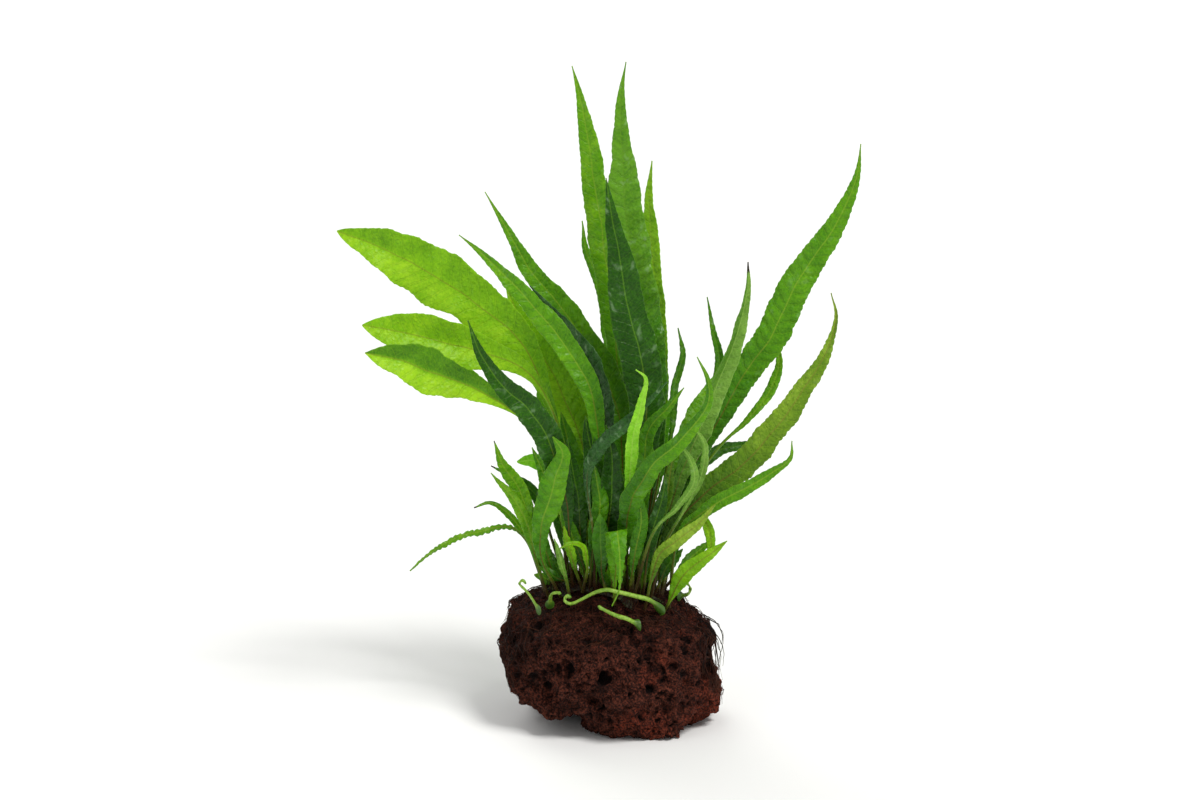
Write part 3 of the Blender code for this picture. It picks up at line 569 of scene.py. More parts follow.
def stone_patch(name, is_inside):
    """A new piece with the CAD stone's faces whose middles pass a test."""
    piece = merged_copy("stone", name)
    shape = bmesh.new()
    shape.from_mesh(piece.data)
    outside = [face for face in shape.faces
               if not is_inside(face.calc_center_median() / MILLIMETRE)]
    bmesh.ops.delete(shape, geom=outside, context="FACES")
    shape.to_mesh(piece.data)
    shape.free()
    return piece


def under_stems(spot):
    """Whether a place on the stone is on its top or the upper edge of its front."""
    return spot.z > 47 and spot.y < 20


top_roots = stone_patch("hair_roots_top", under_stems)
strew_roots(top_roots, ROOTS, density=120000.0, length=15 * MILLIMETRE, radius=0.16, lift=0.6,
            spread=0.6, flow=(0, -0.2, -0.25), outward=26.0, cling=1.0, seed=8)
seat(top_roots, SLOTS["hair_roots_left"])
stem_fuzz = merged_copy("rhizome", "rhizome_fuzz")
strew_roots(stem_fuzz, ROOTS, density=420000.0, length=4.5 * MILLIMETRE, radius=0.13, lift=0.5,
            spread=0.7, flow=(0, 0, 0.8), outward=14.0, cling=0.0, seed=11)
seat(stem_fuzz, SLOTS["rhizome"])
mesh = bpy.data.meshes.new("hanging_roots")
points = []
links = []
for line in HANGING_ROOTS:
    links += [(len(points) + step, len(points) + step + 1) for step in range(len(line) - 1)]
    points += [Vector(point) * MILLIMETRE for point in line]
mesh.from_pydata(points, links, [])
hanging_roots = new_piece("hanging_roots", mesh)
grow(hanging_roots, loose_shaper(), radius=HANGING_RADIUS, material=ROOT_FINISH)
seat(hanging_roots, SLOTS["hair_roots_right"])


# The fronds: leathery strap leaves, each on a thin stalk that grows out of the rhizome.
# A thin blade with a raised midrib, bulging a little between its side veins, with a
# wavy edge that runs out to a fine point.

# The eye from which each frond's places are given as across, up and depth
VIEW_HEIGHT = radians(12)
EYE_DISTANCE = 1500
MIDDLE_ACROSS = -5.4
MIDDLE_UP = 145.3

FOOT_CLEARANCE = 1.5
FOOT_GAP = 0.7
FOOT_SUNK = 2.2
CURVE_PIECES = 16
STATION = 0.8
STALK_WIDTH = 1.4
TIP_WIDTH = 0.5
LAMINA = 0.36
MIDRIB = 0.6
MIDRIB_REACH = 0.85
VEIN_SLOPE = 0.7
TOOTH = 2.9
MEANDER = 3.5

# A frond: its CAD node, foot (x, y), midrib as (across, up, depth) from low to tip,
# widest width, share where the blade starts, share of the blade at its widest,
# fullness (low is full, high is pointed), fold of its halves in degrees, the way its
# upper side faces at the tip, its skin, the painted light and shade on its skin (foot
# left, foot right, tip left, tip right), the way it faces at the foot, the height of its
# waves and of its bulges and how uneven its edge is, the share from which the tip is
# burnt, the space between its side veins in millimetres and how far it is twisted, in degrees
FRONT = (0, -1, 0)
UP = (0, -0.45, 1)
Frond = namedtuple(
    "Frond",
    "node foot midrib width start widest fullness fold face skin tones face_low "
    "ripple quilt scallop burn veins twist",
    defaults=(FRONT, 0.7, 0.55, 0.1, 2, 5, 0))


def seen(across, up, depth):
    """The point in millimetres that is seen at (across, up) and lies at this depth."""
    middle_height = MIDDLE_UP / cos(VIEW_HEIGHT)
    picture_height = up - MIDDLE_UP
    eye = Vector((MIDDLE_ACROSS, -EYE_DISTANCE * cos(VIEW_HEIGHT),
                  middle_height + EYE_DISTANCE * sin(VIEW_HEIGHT)))
    on_picture = Vector((across, picture_height * sin(VIEW_HEIGHT),
                         middle_height + picture_height * cos(VIEW_HEIGHT)))
    return eye.lerp(on_picture, (depth - eye.y) / (on_picture.y - eye.y))


def ground_tree():
    """A search tree over the CAD stone and rhizome, on which every foot stands."""
    shape = bmesh.new()
    for node in ("stone", "rhizome"):
        shape.from_mesh(frame["nodes"][node].data)
    tree = BVHTree.FromBMesh(shape)
    shape.free()
    return tree


GROUND = ground_tree()


def foot_height(x, y, clearance):
    """Height in millimetres at which a stalk clears the ground all round its foot."""
    heights = []
    for across in (-clearance, 0, clearance):
        for depth in (-clearance, 0, clearance):
            above = Vector((x + across, y + depth, 400)) * MILLIMETRE
            heights.append(GROUND.ray_cast(above, Vector((0, 0, -1)))[0].z / MILLIMETRE)
    return max(heights) + FOOT_GAP


def smooth_path(points):
    """Points on a smooth curve through the given points."""
    padded = [2 * points[0] - points[1], *points, 2 * points[-1] - points[-2]]
    path = []
    for a, b, c, d in zip(padded, padded[1:], padded[2:], padded[3:]):
        for piece in range(CURVE_PIECES):
            t = piece / CURVE_PIECES
            path.append(0.5 * (2 * b + (c - a) * t + (2 * a - 5 * b + 4 * c - d) * t * t
                               + (3 * b - a - 3 * c + d) * t ** 3))
    path.append(points[-1])
    return path


def line_piece(name, path):
    """A piece that is only a line along a path in millimetres, and the line's length."""
    mesh = bpy.data.meshes.new(name)
    links = [(number, number + 1) for number in range(len(path) - 1)]
    mesh.from_pydata([point * MILLIMETRE for point in path], links, [])
    length = sum((b - a).length for a, b in zip(path, path[1:]))
    return new_piece(name, mesh), length


def frond_shaper():
    """A blade along its midrib: a lens-shaped section whose width follows the outline."""
    graph = Shaper("frond")
    midrib = graph.input("Midrib", "Geometry")
    stations = graph.input("Stations", "Int")
    around = graph.input("Around", "Int")
    width, start, bulge, fullness, fold, twist = [
        graph.input(name, "Float")
        for name in ("Width", "Start", "Bulge", "Fullness", "Fold", "Twist")]
    face_low = graph.input("Face Low", "Vector")
    face_tip = graph.input("Face Tip", "Vector")
    ripple, quilt, scallop, veins, burn, seed = [
        graph.input(name, "Float")
        for name in ("Ripple", "Quilt", "Scallop", "Veins", "Burn", "Seed")]
    low_left, low_right, tip_left, tip_right = [
        graph.input(name, "Float")
        for name in ("Low Left", "Low Right", "Tip Left", "Tip Right")]

    rail = graph.node("GeometryNodeMeshToCurve", {}, {"Mesh": midrib})
    rail = graph.node("GeometryNodeResampleCurve", {}, {"Curve": rail, "Count": stations})
    spline = graph.node("GeometryNodeSplineParameter", {}, {})
    place = graph.node("GeometryNodeInputPosition", {}, {})
    rail = graph.node(
        "GeometryNodeCaptureAttribute",
        {"captures": (("VECTOR", "middle"), ("VECTOR", "along"), ("FLOAT", "share"),
                      ("FLOAT", "distance"))},
        {"Geometry": rail, "middle": place,
         "along": graph.node("GeometryNodeInputTangent", {}, {}),
         "share": spline, "distance": spline.out("Length")})
    middle, along, share = rail.out("middle"), rail.out("along"), rail.out("share")
    distance = rail.out("distance") / MILLIMETRE
    ring = graph.node("GeometryNodeCurvePrimitiveCircle", {},
                      {"Resolution": around, "Radius": 1.0})
    ring = graph.node("GeometryNodeCaptureAttribute", {"captures": (("VECTOR", "ring"),)},
                      {"Geometry": ring, "ring": place})
    shape = graph.node("GeometryNodeCurveToMesh", {},
                       {"Curve": rail, "Profile Curve": ring, "Fill Caps": True})

    # Outline of the blade
    blade = graph.node("ShaderNodeClamp", {}, {"Value": (share - start) / (1 - start)})
    swell = graph.sum("MAXIMUM", graph.sum("SINE", blade ** bulge * pi), 0.0)
    stalk = STALK_WIDTH * (1 - blade) + TIP_WIDTH * blade
    lobe = width * swell ** fullness
    half = (stalk * stalk + lobe * lobe) ** 0.5 * 0.5
    turn, side, unused = graph.parts(ring.out("ring"))
    right = graph.sum("SIGN", turn)
    out = abs(turn) ** 1.45 * right
    free = graph.sum("MINIMUM", swell * 2.5, 1.0)
    sway = graph.noise(graph.join(distance / 14, right * 7 + seed, 0.0), 1, 1.0) - 0.5
    jag = graph.noise(graph.join(distance / 5, right * 9 + seed, 0.0), 1, 3.0) - 0.5
    tooth = abs(graph.sum("SINE", (distance / TOOTH + jag * 1.5) * pi)) - 0.6
    half = half * (1 - free * (0.05 - sway * 0.45 - jag * scallop * 2))
    reach = out * (half + tooth * free * scallop * 2.6)

    # Waves of the edge, bulges between the side veins and the raised midrib
    wave = graph.noise(graph.join(distance / 8, right * 5 - seed, 0.0), 1, 1.5) - 0.5
    waves = wave * out * out * swell * ripple * 7
    unrest = graph.noise(graph.join(distance / 26, seed, 0.0), 1, 1.0) - 0.5
    fold = fold + unrest * 1.3
    stray = graph.noise(graph.join(distance / 6, reach / 6, seed), 1, 1.0) - 0.5
    vein = (distance - abs(reach) * VEIN_SLOPE) / veins + stray * 0.9
    bulges = abs(graph.sum("SINE", vein * pi))
    calm = graph.node("ShaderNodeClamp", {},
                      {"Value": abs(out) * (1.08 - abs(out)) * 3.6 * swell})
    quilting = bulges * calm * quilt * (stray * 1.6 + 0.7)
    valley = (out * out + 0.012) ** 0.5 - 0.11
    lift = valley * half * graph.sum("SINE", fold) + waves + quilting
    rib = graph.sum("EXPONENT", reach * reach * (-1 / MIDRIB_REACH ** 2))
    rib = rib * ((1 - blade) ** 0.8 * 0.85 + 0.15) * MIDRIB
    above = side < 0.0
    rib = rib * (1 - above * graph.ease(blade, 0.0, 0.25) * 0.62)
    edge = graph.sum("MINIMUM", abs(side) * 4, 1.0)
    thick = (edge * (LAMINA / 2) + rib * abs(side) ** 0.5) * (0 - graph.sum("SIGN", side))

    # Place every point of the section across and above the midrib
    across = graph.sum("NORMALIZE", graph.sum("CROSS_PRODUCT", along,
                                              graph.mix(share, face_low, face_tip)))
    normal = graph.sum("CROSS_PRODUCT", across, along)
    turned = twist * blade
    sine, cosine = graph.sum("SINE", turned), graph.sum("COSINE", turned)
    wide = across * cosine + normal * sine
    high = normal * cosine - across * sine
    drift = graph.noise(graph.join(distance / 24, 0 - seed, 0.0), 1, 1.0) - 0.5
    flat = reach * graph.sum("COSINE", fold) + drift * swell * MEANDER
    moved = middle + (wide * flat + high * (lift + thick)) * MILLIMETRE
    shape = graph.node("GeometryNodeSetPosition", {}, {"Geometry": shape, "Position": moved})

    # What the skin reads
    # Painted light and shade: darker towards the foot, lighter towards the tip, and different on each half
    to_right = graph.ease(out, -0.25, 0.25)
    tone = graph.mix(graph.ease(share, 0.12, 0.68), graph.mix(to_right, low_left, low_right),
                     graph.mix(to_right, tip_left, tip_right))
    shape = graph.store(shape, "leaf", graph.join(reach, distance, vein))
    shape = graph.store(shape, "tone", tone)
    shape = graph.store(shape, "stalk", graph.ease(share / start, 1.35, 0.25))
    shape = graph.store(shape, "along", share)
    shape = graph.store(shape, "edge", abs(out))
    shape = graph.store(shape, "below", graph.ease(side, -0.02, 0.02))
    shape = graph.store(shape, "burn", graph.ease(share - burn, -0.004, 0.008))
    shape = graph.store(shape, "seed", seed)
    return graph.finish(shape)


def read(graph, name, out="Fac"):
    """A value that the shaper kept at each point."""
    return graph.node("ShaderNodeAttribute", {"attribute_name": name}, {}).out(out)


def leaf_finish(name, shades, rib_colour, gloss, painted_sheen_amount):
    """A frond's skin, from its deepest green in painted shade to its lightest in painted light, with veins,
    a midrib and a painted sheen.
    """
    material, graph, shader = finish_of(name, Subsurface_Weight=LEAF_GLOW,
                                        Subsurface_Scale=0.7 * MILLIMETRE,
                                        Subsurface_Radius=(0.5, 1.0, 0.12),
                                        Specular_IOR_Level=0.18)
    reach, distance, vein = graph.parts(read(graph, "leaf", "Vector"))
    seed = read(graph, "seed")
    flat = graph.join(reach, distance, seed * 10)
    tone = read(graph, "tone")
    cloud = graph.noise(flat, 9, 3.0) - 0.5
    fleck = graph.noise(flat, 1.2, 4.0) - 0.5
    # The painted light and shade picks each point's green, with mottling laid over it
    stops = [(place, colour(code)) for place, code in zip((0.0, 0.38, 0.72, 1.0), shades)]
    skin = graph.node("ShaderNodeValToRGB", {"stops": stops},
                      {"Fac": tone + cloud * 0.6 + fleck * 0.5})

    # Side veins, the fine net between them and the midrib
    near_vein = abs(graph.sum("FRACT", vein) - 0.5) * 2
    vein_line = graph.ease(near_vein, 0.86, 0.99)
    net = graph.node("ShaderNodeTexVoronoi", {"feature": "DISTANCE_TO_EDGE"},
                     {"Vector": flat + graph.join(fleck, cloud, 0.0), "Scale": 1 / 2.1})
    net_line = graph.ease(net, 0.09, 0.0)
    light = colour(shades[3])
    # Painted shade beside each side vein's light line
    shade = graph.ease(near_vein, 0.55, 0.8) - vein_line
    skin = graph.mix(shade * 0.14, skin, colour(shades[0]))
    skin = graph.mix(vein_line * (tone * 0.15 + 0.07), skin, light)
    skin = graph.mix(net_line * (tone * 0.12 + 0.06), skin, light)
    along = read(graph, "along")
    rib_tint = graph.mix(graph.ease(along + cloud * 0.3, 0.3, 0.62), colour("5c3c16"),
                         colour(rib_colour))
    rib = graph.ease(abs(reach), 0.42, 0.14)
    skin = graph.mix(rib * (0.85 - along * 0.45), skin, rib_tint)
    # Painted sheen: slanted pale grey-green streaks that stand in for the glossy reflections
    slant = graph.join(reach / 4, vein * 1.3, seed * 10)
    sheen = graph.ease(graph.noise(slant, 1, 3.0), 0.52, 0.7) * graph.ease(cloud, -0.04, 0.14)
    skin = graph.mix(sheen * painted_sheen_amount, skin, colour("a4c098"))
    skin = graph.mix(read(graph, "below") * 0.25, skin, colour(shades[2]))

    # The brown foot of the stalk, the pale edge and a burnt tip
    stalk = read(graph, "stalk")
    stalk_tint = graph.mix(graph.ease(stalk + fleck * 0.5, 0.45, 1.0), colour("5c6a1a"),
                           colour("3a2410"))
    skin = graph.mix(graph.ease(stalk, 0.0, 0.75) * 0.9, skin, stalk_tint)
    skin = graph.mix(graph.ease(read(graph, "edge"), 0.93, 1.0) * 0.25, skin, light)
    skin = graph.mix(read(graph, "burn"), skin, colour("1c0f06"))

    relief = graph.ease(net, 0.0, 0.5) * 1.2 - vein_line * 0.6 + fleck * 0.8
    bump = graph.node("ShaderNodeBump", {}, {"Strength": 0.7, "Distance": 0.25 * MILLIMETRE,
                                             "Height": relief})
    rough = graph.mix(graph.noise(flat, 3, 2.0), gloss - 0.08, gloss + 0.1)
    feed(graph, shader, Base_Color=skin, Roughness=rough, Normal=bump)
    return material


# Each skin: its greens from deepest, for painted shade, to lightest, for painted light, its midrib's
# colour, its roughness and the strength of its painted sheen
LEAF_GLOW = 0.1
SKINS = {
    "fresh": (("2f6404", "568e06", "7ab30c", "9ccc1e"), "7a7a20", 0.4, 0.03),
    "lime": (("3a8c04", "5caa0a", "78c414", "9cdc3c"), "a4d850", 0.42, 0.03),
    "green": (("1c4a03", "3c7806", "5a960a", "80b41a"), "86a82a", 0.34, 0.1),
    "deep": (("0a2602", "1e4c03", "397208", "5f951c"), "5c8a1a", 0.3, 0.26),
    "blue": (("0a220a", "204818", "3c6a2e", "6a9460"), "34602c", 0.26, 0.85),
    "olive": (("264a06", "46700c", "688e16", "90b232"), "7c7a2a", 0.38, 0.05),
    "pale": (("2c5c0c", "50821e", "76a23c", "98be58"), "90b850", 0.4, 0.12),
}
SKIN_MATERIALS = {name: leaf_finish("leaf_" + name, *skin) for name, skin in SKINS.items()}
FROND = frond_shaper()


def grow_frond(frond, seed):
    """One frond: its midrib from the rhizome to the tip, and the blade along it."""
    x, y = frond.foot
    foot = Vector((x, y, foot_height(x, y, FOOT_CLEARANCE)))
    path = smooth_path([foot] + [seen(*point) for point in frond.midrib])
    path.insert(0, foot - (path[1] - foot).normalized() * FOOT_SUNK)
    piece, length = line_piece(frond.node.replace("frond", "leaf"), path)
    tones = dict(zip(("low_left", "low_right", "tip_left", "tip_right"), frond.tones))
    grow(piece, FROND, stations=int(length / STATION), around=16 + 2 * min(8, int(frond.width / 2)),
         width=float(frond.width), start=frond.start, bulge=log(0.5) / log(frond.widest),
         fullness=float(frond.fullness), fold=radians(frond.fold),
         twist=radians(frond.twist), face_low=frond.face_low, face_tip=frond.face,
         ripple=float(frond.ripple), quilt=float(frond.quilt), scallop=float(frond.scallop),
         veins=float(frond.veins), burn=float(frond.burn), seed=seed * 1.7,
         material=SKIN_MATERIALS[frond.skin], **tones)
    if frond.node in SLOTS:
        seat(piece, SLOTS[frond.node], frond.node)
    else:
        seat(piece, "leaf_dark")


def grow_fronds(fronds, seed):
    """All fronds of one group."""
    for number, frond in enumerate(fronds):
        grow_frond(frond, seed + number)


# Broad fronds that lean out to the upper left: full, thin blades of a fresh
# yellow-green, with a fine red-brown midrib, and a dark and a lime one among them.

BROAD_LEFT_FRONDS = (
    Frond("frond_left_broad_top", (-12, 4),
          ((-14.4, 91, 7), (-22.5, 127, 10), (-34.7, 160, 14), (-46, 177, 17), (-64.4, 191, 20),
           (-81.5, 202, 22), (-102, 213, 24), (-123.8, 221.4, 26)),
          26.5, 0.3, 0.66, 0.78, 6, (-0.15, -1, 0.3), "fresh", (0.1, 0.0, 0.85, 0.6),
          ripple=0.8, quilt=0.4),
    Frond("frond_left_broad_middle", (-17, 2),
          ((-18, 109, 2), (-27.9, 143, 2), (-41, 160, 2), (-64, 168, 1), (-81.5, 172.4, 0),
           (-97.7, 176, -1), (-112.5, 179, -2)),
          22.5, 0.44, 0.68, 0.82, 7, (-0.1, -1, 0.35), "fresh", (0.0, 0.0, 0.85, 0.7),
          ripple=0.7, quilt=0.4),
    Frond("frond_left_broad_low", (-21, -3),
          ((-21.6, 94, -8), (-30.2, 123, -14), (-41.4, 137.7, -18), (-60.8, 150, -22),
           (-81.5, 158.4, -26), (-95, 163.4, -28), (-111.2, 166.5, -30)),
          20.5, 0.52, 0.64, 0.9, 10, (0, -1, 0.2), "fresh", (0.3, 0.0, 0.95, 0.25),
          ripple=0.7, quilt=0.4),
    Frond("frond_left_dark", (-18, -9),
          ((-20.7, 100, -22), (-27, 123, -29), (-36.9, 140, -34), (-49, 151.7, -38),
           (-59, 165.6, -41), (-64.8, 181, -43)),
          14, 0.18, 0.48, 1.1, 14, (0.35, -1, 0), "deep", (0.3, 0.3, 0.4, 0.4),
          ripple=0.7, quilt=0.6),
    Frond("frond_left_lime", (-9, 9),
          ((-9, 91, 17), (-13.5, 125, 24), (-20.7, 145.4, 29), (-30.2, 163.4, 33),
           (-40.5, 180.5, 37), (-47.7, 196, 40)),
          19, 0.16, 0.5, 0.9, 8, (0.2, -1, 0.1), "fresh", (0.0, 0.2, 0.85, 0.6),
          ripple=0.8, quilt=0.9),
)
grow_fronds(BROAD_LEFT_FRONDS, 10)


# Tall fronds in the middle: narrow straps that stand up from the rhizome to long
# points, deep green and glossy in front and fresh green behind.

TALL_FRONDS = (
    Frond("frond_upper_left", (0, 8),
          ((2.7, 91, 12), (4.5, 127, 15), (-0.9, 151, 17), (-10.8, 169, 18), (-24.3, 188.6, 19),
           (-37.4, 205, 20), (-48.2, 223.7, 21), (-57.2, 239, 22)),
          15, 0.16, 0.45, 1.2, 10, (0.2, -1, 0), "green", (0.2, 0.3, 0.6, 0.6),
          ripple=1.2, quilt=0.8),
    Frond("frond_upper_left_low", (-7, -3),
          ((-5.4, 114, -6), (-8.1, 145.4, -6), (-15.3, 161, -5), (-27.9, 178.7, -4),
           (-38.7, 191.7, -4), (-50, 203, -4), (-59.4, 212, -4), (-68.9, 219.6, -4)),
          12, 0.18, 0.55, 1.15, 12, (0.2, -1, 0), "green", (0.2, 0.15, 0.7, 0.6),
          ripple=1.1, quilt=0.8),
    Frond("frond_blue_green", (-4, 3),
          ((-2.2, 123, 4), (-5.4, 150, 6), (-13, 168, 8), (-24.3, 182.3, 9), (-36.9, 196.7, 10)),
          10, 0.25, 0.55, 1.0, 14, (-0.5, -1, 0), "blue", (0.2, 0.2, 0.3, 0.6),
          ripple=0.8, quilt=0.9),
    Frond("frond_tall_left", (5, 13),
          ((4.5, 100, 19), (3.6, 145, 24), (0, 186, 28), (-4, 217, 31), (-7.7, 242, 33),
           (-10.8, 262.4, 35), (-14, 280.4, 36), (-18, 295.7, 37)),
          14, 0.18, 0.6, 1.1, 10, (-0.1, -1, 0), "green", (0.25, 0.3, 0.75, 0.75),
          ripple=1.0, quilt=0.8),
    Frond("frond_tall_centre", (10, 4),
          ((16.2, 91, 6), (19.4, 127, 7), (17.1, 159, 7), (12.6, 186, 7), (8.1, 213, 8),
           (5.4, 240, 9), (4, 264, 10), (4, 283, 11), (6.3, 297.5, 12)),
          20, 0.14, 0.5, 1.2, 9, (0.15, -1, 0), "deep", (0.3, 0.4, 1.0, 0.95),
          ripple=0.9, quilt=1.5),
    Frond("frond_dark_centre", (6, -2),
          ((11.7, 96, -9), (15.3, 132, -12), (13.5, 159, -13), (8.6, 181.4, -13),
           (4.5, 204, -13), (0.5, 224, -12), (-2.7, 245.2, -11)),
          19, 0.16, 0.5, 1.0, 12, (0.1, -1, 0), "deep", (0.1, 0.15, 0.35, 0.45),
          ripple=0.6, quilt=0.9),
    Frond("frond_behind_centre", (11, 14),
          ((20, 105, 22), (23.4, 136, 28), (21.6, 177, 33), (18, 213, 36), (16.7, 235, 38),
           (18, 253, 39)),
          9, 0.25, 0.6, 1.0, 8, (-0.4, -1, 0), "green", (0.4, 0.5, 0.95, 0.95),
          ripple=0.4),
    Frond("frond_edge_on", (-3, 14),
          ((0.9, 132, 30), (-0.9, 172.4, 38), (-5.4, 197, 42), (-11.7, 213, 44), (-13.5, 226, 46)),
          8, 0.30, 0.6, 1.0, 10, (0.6, -1, 0), "green", (0.4, 0.2, 0.6, 0.6),
          ripple=0.3),
)
grow_fronds(TALL_FRONDS, 20)


# Fronds at the right: one long, quilted strap, a folded one with a burnt tip, and
# olive and lime ones that lean out low over the stone.

RIGHT_FRONDS = (
    Frond("frond_right_long", (18, 4),
          ((30.6, 102.6, 5), (43.2, 127.4, 5), (57.6, 153.5, 5), (71.6, 174.6, 5), (85, 200.7, 6),
           (100.8, 224.6, 7), (109.8, 244.4, 8), (112, 260.6, 9)),
          16, 0.14, 0.55, 1.2, 10, (-0.2, -1, 0), "green", (0.1, 0.15, 0.6, 0.65),
          ripple=1.0, quilt=1.3, scallop=0.16),
    Frond("frond_right_folded", (16.5, -2.5),
          ((28.8, 104.8, -10), (39.6, 132, -14), (47.7, 154.4, -16), (56.2, 174.6, -18),
           (60.8, 195, -20), (61.2, 207.4, -21)),
          12, 0.18, 0.5, 1.0, 22, (0.6, -1, 0), "pale", (0.05, 0.3, 0.4, 0.65),
          ripple=0.6, quilt=0.6, burn=0.97),
    Frond("frond_right_thin", (19, 14),
          ((30.6, 104.8, 24), (42.3, 136.4, 28), (47.7, 161, 30), (45.5, 177, 31), (42.8, 191.7, 32)),
          5, 0.45, 0.5, 1.0, 8, (0.4, -1, 0), "deep", (0.5, 0.5, 0.8, 0.7),
          ripple=0.3),
    Frond("frond_curly_sliver", (15, 9),
          ((22, 100, 15), (27, 132, 19), (28.4, 152, 21), (31.5, 165.6, 22), (29.7, 177.8, 23)),
          4.5, 0.45, 0.6, 1.0, 5, (0.6, -1, 0), "deep", (0.3, 0.4, 0.7, 0.7),
          ripple=0.5),
    Frond("frond_right_small_curved", (23, 10),
          ((31.5, 98, 16), (46.4, 122, 18), (62.1, 137.7, 21), (72, 150.8, 23), (75.2, 162.5, 24),
           (72.5, 174.2, 25)),
          5, 0.55, 0.6, 1.0, 6, (-0.3, -1, 0), "green", (0.2, 0.2, 0.7, 0.7),
          ripple=0.5),
    Frond("frond_right_outer", (21, -6),
          ((23.4, 80, -10), (34.2, 96.8, -15), (49.5, 109.4, -19), (64.8, 122, -22),
           (76.5, 136.4, -25), (86, 150.8, -27), (95.4, 164.7, -29), (100.8, 181.4, -31),
           (98.6, 193.5, -32)),
          13, 0.10, 0.42, 1.15, 10, (-0.2, -1, 0.3), "olive", (0.0, 0.2, 0.8, 0.7),
          ripple=0.7, quilt=0.6, scallop=0.16),
    Frond("frond_right_low", (26, -9),
          ((29.5, 82.4, -18), (41, 95, -26), (55.4, 103.5, -32), (68.9, 110.3, -36),
           (79.7, 118.4, -39), (81, 126.9, -40)),
          7, 0.25, 0.5, 1.0, 8, (0, -1, 0.5), "green", (0.3, 0.2, 0.6, 0.7),
          ripple=0.5),
    Frond("frond_right_behind", (24, 13),
          ((32.9, 104.9, 27), (45, 120.6, 36), (57.6, 125.1, 42), (68.9, 126.9, 46)),
          6, 0.4, 0.55, 1.0, 6, (0, -1, 0.4), "deep", (0.4, 0.4, 0.6, 0.6),
          ripple=0.2),
    Frond("frond_right_bright_strip", (15, -19),
          ((20, 73.4, -25), (28.4, 81.5, -29), (38.3, 89.6, -33), (46.4, 98.1, -36)),
          6.5, 0.2, 0.5, 0.9, 6, (0, -1, 0.4), "olive", (0.3, 0.3, 0.9, 0.9),
          ripple=0.3),
    Frond("frond_right_lime_behind", (22, 3.2),
          ((26, 80, 8), (30, 88, 9.5), (34, 95, 11)),
          8, 0.3, 0.55, 0.9, 6, (0, -1, 0.2), "lime", (0.4, 0.4, 0.8, 0.8),
          ripple=0.2),
    Frond("frond_right_drooping", (27, 0),
          ((27.5, 75, -2), (34.2, 87.8, -5), (41.4, 91, -8), (44.6, 82, -10), (43.2, 72.5, -11)),
          5, 0.45, 0.6, 1.0, 6, (0, -1, 0.2), "fresh", (0.3, 0.3, 0.7, 0.8),
          ripple=0.3),
    Frond("frond_right_short", (24, -16),
          ((31.5, 65.7, -24), (41.4, 73.8, -30), (51.8, 81.9, -35)),
          8, 0.15, 0.45, 0.9, 6, (0, -1, 0.3), "fresh", (0.4, 0.5, 0.7, 0.7),
          ripple=0.6),
)
grow_fronds(RIGHT_FRONDS, 30)


# Fronds at the front: young lime ones, a rippled one, a folded one, a glossy one
# that crosses the others, and one that arches over and hangs down to the stone.

